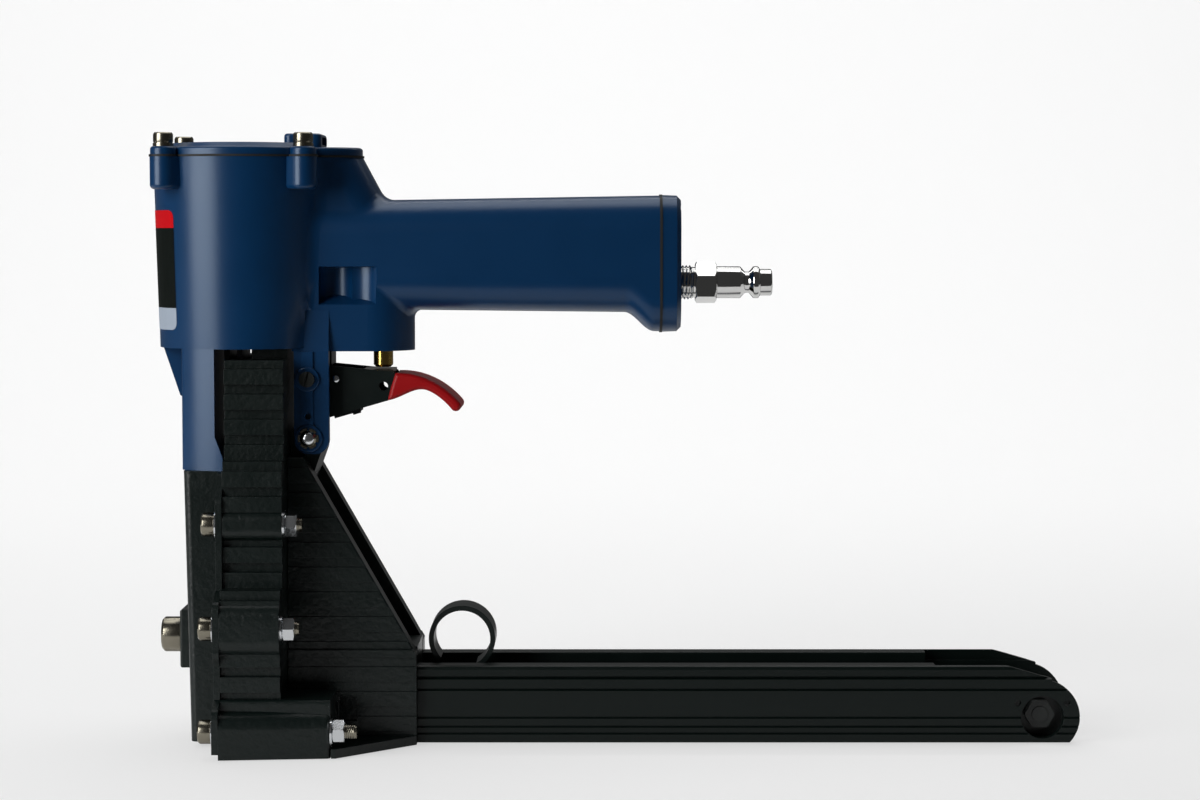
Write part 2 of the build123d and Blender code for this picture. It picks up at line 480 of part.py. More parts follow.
for y in (RIVET_IN - CROWN_HALF, CROWN_HALF - RIVET_IN):
    for z in (bar_z1 - (BAR_ROOT_H + RIVET_PITCH) / 2, bar_z1 - (BAR_ROOT_H - RIVET_PITCH) / 2):
        rivets.append(cyl_x(y, z, -BLADE_HALF_T - OVER, bar_x1 + OVER, RIVET_R)
                      + cyl_x(y, z, -BLADE_HALF_T - RIVET_HEAD_H, -BLADE_HALF_T, RIVET_HEAD_R)
                      + cyl_x(y, z, bar_x1, bar_x1 + RIVET_HEAD_H, RIVET_HEAD_R))
        blade -= cyl_x(y, z, -bar_x1, bar_x1, RIVET_R)
        bar -= cyl_x(y, z, -bar_x1, bar_x1 + OVER, RIVET_R)
parts["driver_blade"] = blade
near_and_far("push_bar", bar)
parts["push_bar_rivets"] = Compound(children=rivets)

# Trigger valve: bush, stem with its collar, and spring
STEM_OUT, STEM_LEN, STEM_BEVEL, BUSH_PLAY = 6.5, 17.3, 0.9, 0.08
STEM_THIN_R, COLLAR_R, COLLAR_H, STEM_TOP_GAP = 1.6, 3.4, 2.0, 8.0
VALVE_SPRING_R, VALVE_SPRING_IN = 3.5, 2.2
stem_z0 = lug_z - STEM_OUT
collar_z = bush_z1 + OVER
parts["valve_bush"] = ring(lug_z, bush_z1, BUSH_R, STEM_R + BUSH_PLAY, STEM_X)
stem = cyl_z(STEM_X, 0, stem_z0, stem_z0 + STEM_LEN, STEM_R)
stem = chamfer(stem.edges().group_by(Axis.Z)[0], STEM_BEVEL)
stem += cyl_z(STEM_X, 0, stem_z0 + STEM_LEN - OVER, valve_top_z - STEM_TOP_GAP, STEM_THIN_R)
parts["valve_stem"] = stem + cyl_z(STEM_X, 0, collar_z, collar_z + COLLAR_H, COLLAR_R)
parts["valve_spring"] = ring(collar_z + COLLAR_H, valve_top_z, VALVE_SPRING_R, VALVE_SPRING_IN, STEM_X)

# Trigger lever: two cheeks, the web that joins them and the tongue in the grip, drawn from the pivot
LEVER_HALF_W, LEVER_T, TONGUE_HALF_W = 12.0, 1.6, 9.5
LEVER_HOLE, LEVER_HOLE_R = (27.9, -3.05), 1.7
RIVET_AT, TRIGGER_RIVET_R, TRIGGER_RIVET_PROUD = (10.0, -0.2), 1.2, 0.7
PAD_BACK, PAD_AHEAD, PAD_TOP_GAP, PAD_T = 7.0, 4.4, 0.6, 1.6
GRIP_HALF_W, GRIP_EDGE, GRIP_NOTCH_X, GRIP_NOTCH_DROP = 13.0, 1.6, 33.0, 6.5
px, pz = trigger_pivot


# A place measured from the trigger's pivot, in the middle plane.
def from_pivot(dx, dz):
    return (px + dx, 0.0, pz + dz)


def pivot_line(*points):
    return [(px + dx, pz + dz) for dx, dz in points]


cheek_line = pivot_line((-4.8, 4.8), (7.0, 4.8), (32.6, 2.3), (29.6, -8.4), (7.4, -14.8), (5.0, -13.8),
                        (-4.8, -3.0))
cheek = slab_y(cheek_line, LEVER_HALF_W - LEVER_T, LEVER_HALF_W,
               [(cheek_line[0], 4.0), (cheek_line[2], 1.5), (cheek_line[-1], 2.5)])
web_low, web_high = cheek_line[4], cheek_line[3]
web_slope = math.atan2(web_high[1] - web_low[1], web_high[0] - web_low[0])
web_up = (-LEVER_T * math.sin(web_slope), LEVER_T * math.cos(web_slope))
web = slab_y([web_low, web_high, (web_high[0] + web_up[0], web_high[1] + web_up[1]),
              (web_low[0] + web_up[0], web_low[1] + web_up[1])], -LEVER_HALF_W, LEVER_HALF_W)
tongue_top = [from_pivot(*p) for p in ((27.0, -7.5), (35.0, -3.8), (42.6, -1.8), (48.2, -3.8), (53.6, -8.5))]
tongue_low = [from_pivot(*p) for p in ((52.6, -9.5), (47.4, -5.2), (42.4, -3.4), (35.4, -5.4), (27.0, -9.1))]
tongue = curved_y([Spline(*tongue_top), Line(tongue_top[-1], tongue_low[0]), Spline(*tongue_low),
                   Line(tongue_low[-1], tongue_top[0])], TONGUE_HALF_W)
lever = both(cheek) + web + tongue
lever -= cyl_y(px, pz, -GRIP_HALF_W, GRIP_HALF_W, PIVOT_R + RUN)
lever -= cyl_y(px + LEVER_HOLE[0], pz + LEVER_HOLE[1], -GRIP_HALF_W, GRIP_HALF_W, LEVER_HOLE_R)
rivet_x, rivet_z = px + RIVET_AT[0], pz + RIVET_AT[1]
lever -= cyl_y(rivet_x, rivet_z, -GRIP_HALF_W, GRIP_HALF_W, TRIGGER_RIVET_R)

# Dipped grip over the tongue, stem pad, rivet, and leaf with its button under the web
grip_top = [from_pivot(*p) for p in ((32.4, 1.9), (43.3, 0.2), (50.8, -3.8), (56.6, -9.2))]
grip_low = [from_pivot(*p) for p in ((53.6, -11.9), (47.4, -6.2), (43.0, -4.3), (34.4, -6.8), (29.4, -8.4))]
grip_tip, grip_root = from_pivot(56.5, -11.8), from_pivot(30.6, -3.4)
grip = curved_y([Spline(*grip_top), ThreePointArc(grip_top[-1], grip_tip, grip_low[0]),
                 Spline(*grip_low), ThreePointArc(grip_low[-1], grip_root, grip_top[0])], GRIP_HALF_W)
grip = fillet(grip.edges().group_by(Axis.Y)[0] + grip.edges().group_by(Axis.Y)[-1], GRIP_EDGE)
cheek_in = LEVER_HALF_W - LEVER_T
notch_z = (pz - GRIP_NOTCH_DROP, pz + GRIP_NOTCH_DROP)
grip = grip - lever - box(px, px + GRIP_NOTCH_X, -cheek_in, cheek_in, *notch_z)
pad_z1 = stem_z0 - PAD_TOP_GAP
parts["trigger_lever"] = lever
parts["trigger_grip"] = grip
parts["stem_pad"] = box(STEM_X - PAD_BACK, STEM_X + PAD_AHEAD, -cheek_in, cheek_in, pad_z1 - PAD_T, pad_z1)
rivet_half = LEVER_HALF_W + TRIGGER_RIVET_PROUD
parts["trigger_rivet"] = cyl_y(rivet_x, rivet_z, -rivet_half, rivet_half, TRIGGER_RIVET_R)
LEAF_AT, LEAF_LEN, LEAF_T, LEAF_HALF_W, BUTTON_AT, BUTTON_R, BUTTON_H = 1.2, 10.4, 1.2, 5.0, 9.4, 1.6, 2.0
leaf = Pos(LEAF_AT + LEAF_LEN / 2, 0, -LEAF_T / 2) * Box(LEAF_LEN, 2 * LEAF_HALF_W, LEAF_T)
leaf += Pos(BUTTON_AT, 0, -BUTTON_H / 2) * Cylinder(BUTTON_R, BUTTON_H)
parts["trigger_leaf"] = Pos(web_low[0], 0, web_low[1]) * Rot(0, -math.degrees(web_slope), 0) * leaf

# Pivot screw with a slotted head, and the stop strip above the lever
PIVOT_HEAD_R, PIVOT_HEAD_H, SLOT_W, SLOT_DEEP, SLOT_TURN = 2.9, 1.6, 0.8, 0.8, 65.0
STOP_X, STOP_T, STOP_HALF_W, STOP_H = 32.6, 1.6, 9.0, 5.4
pivot = cyl_y(px, pz, -bracket_face_y - PIVOT_HEAD_H, bracket_face_y + PIVOT_HEAD_H, PIVOT_HEAD_R)
waist = ring(-bracket_face_y, bracket_face_y, PIVOT_HEAD_R + OVER, PIVOT_R)
pivot -= Pos(px, 0, pz) * Rot(90, 0, 0) * waist
slot = Box(3 * PIVOT_HEAD_R, 2 * SLOT_DEEP, SLOT_W)
pivot -= Pos(px, -bracket_face_y - PIVOT_HEAD_H, pz) * Rot(0, SLOT_TURN, 0) * slot
parts["trigger_pivot_screw"] = pivot
parts["trigger_stop"] = box(STOP_X, STOP_X + STOP_T, -STOP_HALF_W, STOP_HALF_W, lug_z - STOP_H, lug_z)

# Hanger lug between the brackets, its pin and star push nuts
HANGER_X0, HANGER_X1, HANGER_NECK_X, HANGER_Z0, HANGER_TOP = 19.2, 30.9, 26.6, 60.0, 5.4
HANGER_BEND, HANGER_SLOPE, HANGER_ROUND = 16.8, 4.9, 5.4
NUT_R, NUT_T, NUT_DOME_R, NUT_DOME_TOP, NUT_DOME_H, NUT_TEETH = 3.9, 0.7, 3.1, 2.2, 1.3, 6
hx, hz = hanger_pin
hanger_top = hz + HANGER_TOP
hanger_half_w = BRACKET_Y - PLAY
bend, shoulder_low = (HANGER_NECK_X, hz - HANGER_BEND), (HANGER_X1, hz - HANGER_SLOPE)
top_rear, top_front = (HANGER_X1, hanger_top), (HANGER_X0, hanger_top)
hanger = slab_y([(HANGER_X0, HANGER_Z0), (HANGER_NECK_X, HANGER_Z0), bend, shoulder_low, top_rear, top_front],
                -hanger_half_w, hanger_half_w,
                [(top_rear, HANGER_ROUND - OVER), (top_front, HANGER_ROUND), (shoulder_low, HANGER_ROUND)])
parts["hanger_lug"] = hanger - cyl_y(hx, hz, -BRACKET_Y, BRACKET_Y, PIN_R)
nut_y = bracket_face_y + NUT_T
pin_half = nut_y + NUT_DOME_H / 2
parts["hanger_pin"] = cyl_y(hx, hz, -pin_half, pin_half, PIN_R)
nut = cyl_y(hx, hz, bracket_face_y, nut_y, NUT_R)
notch = Pos(NUT_R, 0, 0) * Box(NUT_T * 2, 2 * OVER, NUT_T * 1.5)
for k in range(NUT_TEETH):
    nut -= Pos(hx, nut_y, hz) * Rot(0, 360 / NUT_TEETH * (k + 0.5), 0) * notch
nut += Pos(hx, nut_y + NUT_DOME_H / 2, hz) * Rot(-90, 0, 0) * Cone(NUT_DOME_R, NUT_DOME_TOP, NUT_DOME_H)
nut -= cyl_y(hx, hz, 0, pin_half, PIN_R)
parts["push_nuts"] = Compound(children=[nut, mirror(nut, about=Plane.XZ)])

# Clinch housing: a ribbed outline drawn out along X, with bolt bosses and a sloping foot
# Its widths run outward from the claw pivots
HOUSING_X0, HOUSING_X1, HOUSING_DOWN = -3.3, 18.6, 4.0
RIB_PITCH, RIB_PROUD, RIB_DEEP, RIB_DOWN, RIB_LAST_Z, STEP_SLOPE = 9.3, 5.7, 2.2, 3.1, 22.0, 0.2
STEP_Z, STEP_OUT = 59.0, (11.4, 18.4, 27.6)
BOLT_R, BOLT_DOWN, BOLT_MID_Z, BOLT_LOW_Z, BOLT_OUT = 2.5, 19.2, 46.6, 9.3, (14.0, 24.0, 27.6)
BOSS_HALF_H, BOSS_CORNER, BOSS_CLEAR = (5.8, 10.0), (4.5, 6.0), (5.6, 6.4)
FOOT_X1, FOOT_IN, FOOT_OUT, FOOT_TAPER = 37.0, 4.0, 34.6, 3.8
FOOT_Z, FOOT_BLOCK_Z, FOOT_BLOCK_OUT, FOOT_ROUND, FOOT_END_ROUND = 17.0, 21.0, 28.6, 6.0, 1.5
CLAW_SWING, CLAW_PIN_R, CLAW_PIN_DEEP = 70.0, 2.0, 10.0
CAVITY_X, CAVITY_DOWN = 3.6, 2.5
CAVITY_STEPS = ((22.0, 60.0), (24.0, 27.0), (26.6, 17.8))
housing_y0 = nose_half_w + SLIDE
housing_top_z = BARREL_Z0 - HOUSING_DOWN
rib_first_z = housing_top_z - RIB_DOWN
outer_steps = list(zip((strut_z + OVER, STEP_Z, 0.0), [claw_y + out for out in STEP_OUT]))
bolts = list(zip([claw_y + out for out in BOLT_OUT], (strut_z - BOLT_DOWN, BOLT_MID_Z, BOLT_LOW_Z)))
claw_pivot = (claw_y, CLAW_Z)
foot_in_y, foot_out_y = claw_y + FOOT_IN, claw_y + FOOT_OUT


def outer_at(z):
    return next(y for low, y in outer_steps if z > low)


def rib_line():
    line = []
    for k in range(int((rib_first_z - RIB_LAST_Z) / RIB_PITCH) + 1):
        top = rib_first_z - RIB_PITCH * k
        low = top - RIB_PROUD
        crest, root = outer_at(low), outer_at(low - RIB_PROUD) - RIB_DEEP
        line += [(crest, top), (crest, low), (root, low - STEP_SLOPE), (root, top - RIB_PITCH + STEP_SLOPE)]
    return line


housing_line = rib_line()
top_y = housing_line[0][0] - RIB_DEEP
housing_top = [(housing_y0, 0), (housing_y0, housing_top_z), (top_y, housing_top_z),
               (top_y, rib_first_z + STEP_SLOPE)]
housing = slab_x(housing_top + housing_line + [(housing_line[-1][0], 0)], HOUSING_X0, HOUSING_X1)
for (y, z), half_h, corner, clear in zip(bolts, BOSS_HALF_H, BOSS_CORNER, BOSS_CLEAR):
    boss = box(HOUSING_X0, HOUSING_X1, y - clear, y + clear, z - half_h, z + half_h)
    housing += fillet(boss.edges().filter_by(Axis.X).group_by(Axis.Y)[-1], corner)
foot = slab_z([(HOUSING_X0, foot_in_y), (HOUSING_X0, foot_out_y), (FOOT_X1, foot_out_y - FOOT_TAPER),
               (FOOT_X1, foot_in_y)], 0, FOOT_Z)
foot = fillet(foot.edges().group_by(Axis.Z)[-1].sort_by(Axis.Y)[-1], FOOT_ROUND)
foot_end = foot.edges().group_by(Axis.X)[-1].filter_by(lambda e: e.center().Y > foot_in_y and e.center().Z > 0)
foot = fillet(foot_end, FOOT_END_ROUND)
block_y = claw_y + FOOT_BLOCK_OUT
block = box(HOUSING_X0, FOOT_X1, foot_in_y, block_y, FOOT_Z - FOOT_ROUND, FOOT_BLOCK_Z)
housing += foot + fillet(block.edges().group_by(Axis.Z)[-1].group_by(Axis.Y)[-1], FOOT_END_ROUND)
for out, z1 in ((bar_y1 + OVER - claw_y, housing_top_z - CAVITY_DOWN), *CAVITY_STEPS):
    housing -= box(HOUSING_X0 - OVER, CAVITY_X, housing_y0 - OVER, claw_y + out, -OVER, z1)
housing -= cyl_x(*claw_pivot, 0, CLAW_PIN_DEEP, CLAW_PIN_R)
for y, z in bolts:
    housing -= cyl_x(y, z, HOUSING_X0 - OVER, FOOT_X1 + OVER, BOLT_R + PLAY / 4)
near_and_far("clinch_housing", housing)

# Clinch claw, drawn where its stroke ends and turned back to rest, with the arm that the push bar presses
CLAW_X0, CLAW_X1, CLAW_ARM_X1, ARM_HALF = -1.9, 1.9, 3.2, 2.0
ARM_LEN, ARM_ANGLE, LOBE_R, HEEL_ROUND = 18.3, 35.0, 2.5, 5.5
HOOK = ((-3.4, -1.0), (-3.4, -24.5), (-11.0, -25.9), (-12.0, -27.4), (-8.0, -28.4), (2.2, -28.4), (3.6, -1.0))


# A place measured from the claw's pivot and turned about it.
def from_claw(dy, dz, angle):
    c, s = math.cos(math.radians(angle)), math.sin(math.radians(angle))
    return (claw_y + dy * c - dz * s, CLAW_Z + dy * s + dz * c)


heel = from_claw(*HOOK[5], CLAW_SWING)
claw = slab_x([from_claw(*p, CLAW_SWING) for p in HOOK], CLAW_X0, CLAW_X1, [(heel, HEEL_ROUND)])
arm = ((0, ARM_HALF), (ARM_LEN, ARM_HALF), (ARM_LEN, -ARM_HALF), (0, -ARM_HALF))
claw += slab_x([from_claw(*p, ARM_ANGLE) for p in arm], CLAW_X0, CLAW_ARM_X1)
claw += cyl_x(*claw_pivot, CLAW_X0, CLAW_ARM_X1, CLAW_HUB_R)
claw += cyl_x(*from_claw(ARM_LEN, 0, ARM_ANGLE), CLAW_X0, CLAW_ARM_X1, LOBE_R)
claw -= cyl_x(*claw_pivot, CLAW_X0 - OVER, CLAW_ARM_X1 + OVER, CLAW_PIN_R + RUN)
near_and_far("claw", claw)
claw_pin = cyl_x(*claw_pivot, HOUSING_X0, CLAW_PIN_DEEP, CLAW_PIN_R)
parts["claw_pins"] = Compound(children=[claw_pin, mirror(claw_pin, about=Plane.XZ)])

# Front cover: hat section with a side flange that carries the bolt heads
COVER_X0, COVER_LEAN, COVER_Z0, COVER_OUT, COVER_T, COVER_ROUND = -19.0, 2.0, 2.0, 8.0, 3.0, 2.6
FLANGE_T, FLANGE_PROUD, EAR_HALF_H, EAR_SLOPE, EAR_ROUND = 2.4, 1.4, 9.4, 4.0, 4.0
CLAMP_Z, CLAMP_R, CLAMP_HEAD_R, CLAMP_HEAD_H, CLAMP_KEY = 38.0, 4.0, 6.5, 7.8, 6.0
CLAMP_X0, CLAMP_HALF_W, CLAMP_LOW, CLAMP_HIGH = -23.8, 10.0, 11.4, 10.6
flange_x = HOUSING_X0 - FLANGE_T
cover_half_w = claw_y + COVER_OUT
cover_x_low = COVER_X0 + COVER_LEAN
hat = slab_y([(COVER_X0, strut_z), (flange_x, strut_z), (flange_x, COVER_Z0), (cover_x_low, COVER_Z0)],
             -cover_half_w, cover_half_w)
hat = fillet(hat.edges().filter_by(lambda e: e.center().X < cover_x_low and e.length > COVER_T
                                   and abs(e.center().Y) > cover_half_w - OVER), COVER_ROUND)
top_out, mid_out, low_out = (y + FLANGE_PROUD for low, y in outer_steps)
top_bolt_z, ear_out = bolts[0][1], low_out + FLANGE_PROUD
low_edge = low_out - FLANGE_PROUD
flange_line = [(0, strut_z), (top_out - FLANGE_PROUD, strut_z), (mid_out, top_bolt_z + EAR_HALF_H),
               (mid_out, STEP_Z + OVER), (ear_out, BOLT_MID_Z + EAR_HALF_H), (ear_out, BOLT_MID_Z - EAR_HALF_H),
               (low_edge, BOLT_MID_Z - EAR_HALF_H - EAR_SLOPE), (low_edge, FOOT_BLOCK_Z),
               (foot_out_y, FOOT_Z), (foot_out_y, COVER_Z0), (0, COVER_Z0)]
flange = slab_x(flange_line, flange_x, HOUSING_X0, [(flange_line[k], EAR_ROUND) for k in (1, 2, 4, 5, 8)])
front = hat + both(flange)
front -= slab_y([(COVER_X0 + COVER_T, strut_z - COVER_T), (HOUSING_X0 + OVER, strut_z - COVER_T),
                 (HOUSING_X0 + OVER, COVER_Z0 - OVER), (cover_x_low + COVER_T, COVER_Z0 - OVER)],
                COVER_T - cover_half_w, cover_half_w - COVER_T)
for y, z in bolts:
    front -= both(cyl_x(y, z, flange_x - OVER, HOUSING_X0 + OVER, BOLT_R + PLAY / 4))
front -= cyl_x(0, CLAMP_Z, COVER_X0 - OVER, flange_x, CLAMP_R + PLAY / 4)
front -= box(flange_x, HOUSING_X0 + OVER, -nose_half_w - PLAY, nose_half_w + PLAY,
             strut_z - COVER_T - OVER, strut_z + OVER)
parts["front_cover"] = front

# Nose: plate in front of the blade and block behind it, each drawn up to the barrel as a guard
NOSE_X0, NOSE_GAP, NOSE_Z0 = -11.0, 0.5, 0.3
GUARD_T, GUARD_GAP = 1.8, 1.0
PAD_HALF_W, PAD_HALF_H = 9.0, 9.4
SEAT = 0.02
nose_z1 = strut_z - COVER_T - PLAY
guard_z1 = BARREL_Z0 - PLAY


# The leaning front of the cover at a height, outside or inside.
def cover_face(z, inward=0.0):
    return COVER_X0 + inward + COVER_LEAN * (strut_z - z) / (strut_z - COVER_Z0)


guard_x = -BLADE_HALF_T - RIVET_HEAD_H - GUARD_GAP
nose_plate = box(NOSE_X0, -BLADE_HALF_T - NOSE_GAP, -nose_half_w, nose_half_w, NOSE_Z0, nose_z1)
nose_plate += box(guard_x - GUARD_T, guard_x, -nose_half_w, nose_half_w, nose_z1 - OVER, guard_z1)
pad_z = (CLAMP_Z - PAD_HALF_H, CLAMP_Z + PAD_HALF_H)
nose_plate += slab_y([(cover_face(pad_z[1], COVER_T + 2 * SEAT), pad_z[1]), (NOSE_X0 + OVER, pad_z[1]),
                      (NOSE_X0 + OVER, pad_z[0]), (cover_face(pad_z[0], COVER_T + 2 * SEAT), pad_z[0])],
                     -PAD_HALF_W, PAD_HALF_W)
CLAMP_TIP_X = -6.0
nose_plate -= cyl_x(0, CLAMP_Z, COVER_X0, CLAMP_TIP_X + OVER, CLAMP_R)
parts["nose_plate"] = nose_plate
block_x0 = bar_x1 + RIVET_HEAD_H + GUARD_GAP
nose_block = box(BLADE_HALF_T + SLIDE, HOUSING_X1, -nose_half_w, nose_half_w, BLADE_REST_Z - PLAY, nose_z1)
nose_block += box(CAVITY_X + SEAT, HOUSING_X1, -housing_y0, housing_y0, BLADE_REST_Z - PLAY, nose_z1)
nose_block += box(block_x0, HOUSING_X1, -nose_half_w, nose_half_w, nose_z1 - OVER, guard_z1)
parts["nose_block"] = nose_block

# Clamp block on the cover with its socket head bolt
clamp_z0, clamp_z1 = CLAMP_Z - CLAMP_LOW, CLAMP_Z + CLAMP_HIGH
clamp = slab_y([(CLAMP_X0, clamp_z0), (CLAMP_X0, clamp_z1), (cover_face(clamp_z1, -SEAT), clamp_z1),
                (cover_face(clamp_z0, -SEAT), clamp_z0)], -CLAMP_HALF_W, CLAMP_HALF_W)
clamp = fillet(clamp.edges().group_by(Axis.X)[0], OVER)
parts["clamp_block"] = clamp - cyl_x(0, CLAMP_Z, CLAMP_X0 - OVER, flange_x, CLAMP_R + PLAY / 4)
bolt = cyl_x(0, CLAMP_Z, CLAMP_X0 - CLAMP_HEAD_H, CLAMP_X0, CLAMP_HEAD_R)
bolt = chamfer(bolt.edges().group_by(Axis.X)[0], CLAMP_HEAD_H / 10)
bolt += cyl_x(0, CLAMP_Z, CLAMP_X0 - OVER, CLAMP_TIP_X, CLAMP_R)
bolt -= hex_x(0, CLAMP_Z, CLAMP_X0 - CLAMP_HEAD_H - OVER, CLAMP_X0 - CLAMP_HEAD_H / 2, CLAMP_KEY)
parts["clamp_bolt"] = bolt

# Housing bolts with washers and nuts
BOLT_HEAD_R, BOLT_HEAD_H, BOLT_KEY, BOLT_TIPS = 4.25, 5.0, 4.0, (7.0, 6.8, 9.6)
FRONT_WASHER_R, FRONT_WASHER_T, REAR_WASHER_R, REAR_WASHER_T = 5.4, 0.6, 5.2, 0.8
BOLT_NUT_FLATS, BOLT_NUT_H, BOLT_NUT_CORNER = 8.0, 4.4, 4.5
bolt_pieces = {"housing_bolts": [], "housing_washers": [], "housing_nuts": []}
head_x1 = flange_x - FRONT_WASHER_T
for (y, z), rear_x, tip in zip(bolts, (HOUSING_X1, HOUSING_X1, FOOT_X1), BOLT_TIPS):
    b = cyl_x(y, z, head_x1 - BOLT_HEAD_H, head_x1, BOLT_HEAD_R)
    b = chamfer(b.edges().group_by(Axis.X)[0], BOLT_HEAD_H / 10)
    b += cyl_x(y, z, head_x1 - OVER, rear_x + tip, BOLT_R)
    b -= hex_x(y, z, head_x1 - BOLT_HEAD_H - OVER, head_x1 - BOLT_HEAD_H / 2, BOLT_KEY)
    nut_x = rear_x + REAR_WASHER_T
    nut_x1 = nut_x + BOLT_NUT_H
    hole = cyl_x(y, z, head_x1 - OVER, nut_x + OVER, BOLT_R + PLAY / 4)
    w0 = cyl_x(y, z, head_x1, flange_x, FRONT_WASHER_R) - hole
    w1 = cyl_x(y, z, rear_x, nut_x, REAR_WASHER_R) - hole
    n = hex_x(y, z, nut_x, nut_x1, BOLT_NUT_FLATS) & cyl_x(y, z, rear_x, nut_x1, BOLT_NUT_CORNER)
    n -= cyl_x(y, z, rear_x, nut_x1 + OVER, BOLT_R)
    for name, pieces in (("housing_bolts", [b]), ("housing_washers", [w0, w1]), ("housing_nuts", [n])):
        bolt_pieces[name] += pieces + [mirror(piece, about=Plane.XZ) for piece in pieces]
for name, pieces in bolt_pieces.items():
    parts[name] = Compound(children=pieces)

# Magazine sizes that the side frames share
RAIL_X0, RAIL_LEN, RAIL_END_R, AXLE_Z = 66.7, 248.4, 14.0, 9.6
CHANNEL_PLAY, RAIL_WALL, RAIL_FLOOR_T = 0.3, 3.3, 1.2
RAIL_TOP_Z, LIP_T, LIP_W, LIP_CUT_LEN = 29.0, 4.0, 5.2, 54.1
channel_half_w = nose_half_w + CHANNEL_PLAY
rail_half_w = channel_half_w + RAIL_WALL
rail_x1 = RAIL_X0 + RAIL_LEN
axle = (rail_x1 - RAIL_END_R, AXLE_Z)

# Side frames: sloping gusset with step bands, base block and floor flange
FRAME_GAP, FRAME_FIT, FRAME_WALL, BASE_PROUD, BASE_TOP_Z = 0.3, 0.2, 5.8, 1.6, 35.6
SLOPE_TOP_X, SLOPE_DOWN, SLOPE_FOOT, FRAME_REAR_Z = 24.6, 36.4, (62.3, 41.5), 33.5
BAND_W, BAND_DEEP, FLANGE_FLOOR_T, FRAME_CHANNEL_Z = 3.6, 0.6, 3.4, 24.4
NUT_POCKET_LEN, NUT_POCKET_H = 6.8, 9.2
frame_x0 = HOUSING_X1 + FRAME_GAP
frame_y0 = hanger_half_w + FRAME_FIT
frame_y1 = channel_half_w + FRAME_WALL
base_y1 = frame_y1 + BASE_PROUD
slope_top = (SLOPE_TOP_X, housing_top_z - SLOPE_DOWN)
frame_line = [(frame_x0, 0), (RAIL_X0, 0), (RAIL_X0, FRAME_REAR_Z), SLOPE_FOOT, slope_top,
              (frame_x0, slope_top[1])]
gusset = slab_y(frame_line, frame_y0, frame_y1)
gusset = fillet(gusset.edges().group_by(Axis.Y)[-1].filter_by(lambda e: e.center().X > SLOPE_TOP_X + OVER
                                                             and e.center().Z > FRAME_REAR_Z), BAND_DEEP)
base = slab_y(frame_line, channel_half_w, base_y1) & box(frame_x0, RAIL_X0, 0, base_y1, 0, BASE_TOP_Z)
for k in range(int(slope_top[1] / RIB_PITCH) + 1):
    z1 = rib_first_z - RIB_PROUD - RIB_PITCH * (k + 3)
    gusset -= box(frame_x0 - OVER, RAIL_X0 + OVER, frame_y1 - BAND_DEEP, frame_y1 + OVER, z1 - BAND_W, z1)
    base -= box(frame_x0 - OVER, RAIL_X0 + OVER, base_y1 - BAND_DEEP, base_y1 + OVER, z1 - BAND_W, z1)
side = gusset + base
flange_x0, flange_y1 = FOOT_X1 + FRAME_GAP, foot_out_y - FOOT_TAPER
side += slab_z([(flange_x0, frame_y1), (flange_x0, flange_y1), (FOOT_X1 + FOOT_TAPER / 2, flange_y1),
                (RAIL_X0, base_y1), (RAIL_X0, frame_y1)], 0, FLANGE_FLOOR_T)
side -= box(0, RAIL_X0 + OVER, 0, channel_half_w, -OVER, FRAME_CHANNEL_Z)
side -= box(FOOT_X1 + SLIDE, FOOT_X1 + SLIDE + NUT_POCKET_LEN, frame_y1, base_y1 + OVER,
            BOLT_LOW_Z - FRAME_GAP, BOLT_LOW_Z - FRAME_GAP + NUT_POCKET_H)
near_and_far("side_frame", side)
BRIDGE_LEN, BRIDGE_H, BRIDGE_GAP = 8.9, 11.0, 0.2
parts["frame_bridge"] = box(RAIL_X0 - BRIDGE_GAP - BRIDGE_LEN, RAIL_X0 - BRIDGE_GAP, -frame_y0, frame_y0,
                            FRAME_CHANNEL_Z, FRAME_CHANNEL_Z + BRIDGE_H)

# Magazine rail: one drawn channel with top lips and grooves along its sides
LIP_ROUND, RAIL_EDGE, LIP_INSET = 1.5, 0.6, 2.1
RAIL_GROOVES = ((3.5, 0.4, 0.5), (6.1, 0.4, 0.5), (9.5, 0.4, 0.5), (20.05, 0.45, 0.7), (24.5, 0.6, 1.0))
SLANT_LEN, SLANT_DROP = 27.3, 0.289
SIGHT_R, END_PIN_R, END_PIN_DX, END_PIN_DZ = 8.0, 1.2, 9.25, 5.4
TONGUE_X0 = 3.8
lip_z = RAIL_TOP_Z - LIP_T
lip_y = channel_half_w - LIP_W
half = [(rail_half_w, 0), (rail_half_w, RAIL_TOP_Z), (lip_y, RAIL_TOP_Z), (lip_y, lip_z),
        (channel_half_w, lip_z), (channel_half_w, RAIL_FLOOR_T)]
corners = [((y, RAIL_TOP_Z), LIP_ROUND) for y in (rail_half_w, -rail_half_w)]
corners += [((y, RAIL_TOP_Z), RAIL_EDGE) for y in (lip_y, -lip_y)]
corners += [((y, 0), RAIL_EDGE) for y in (rail_half_w, -rail_half_w)]
rail = slab_x(half + [(-y, z) for y, z in reversed(half)], RAIL_X0, rail_x1, corners)
outside_y = rail_half_w + OVER
for z, half_h, deep in RAIL_GROOVES:
    mouth = half_h * (1 + OVER / deep)
    rail -= both(slab_x([(rail_half_w - deep, z), (outside_y, z + mouth), (outside_y, z - mouth)],
                        RAIL_X0 - OVER, rail_x1 + OVER))
lip_cut_y = rail_half_w - LIP_INSET
rail -= box(rail_x1 - LIP_CUT_LEN, rail_x1 + OVER, -lip_cut_y, lip_cut_y, lip_z, RAIL_TOP_Z + OVER)
slant_x, slant_end = rail_x1 - SLANT_LEN, rail_x1 + RAIL_END_R
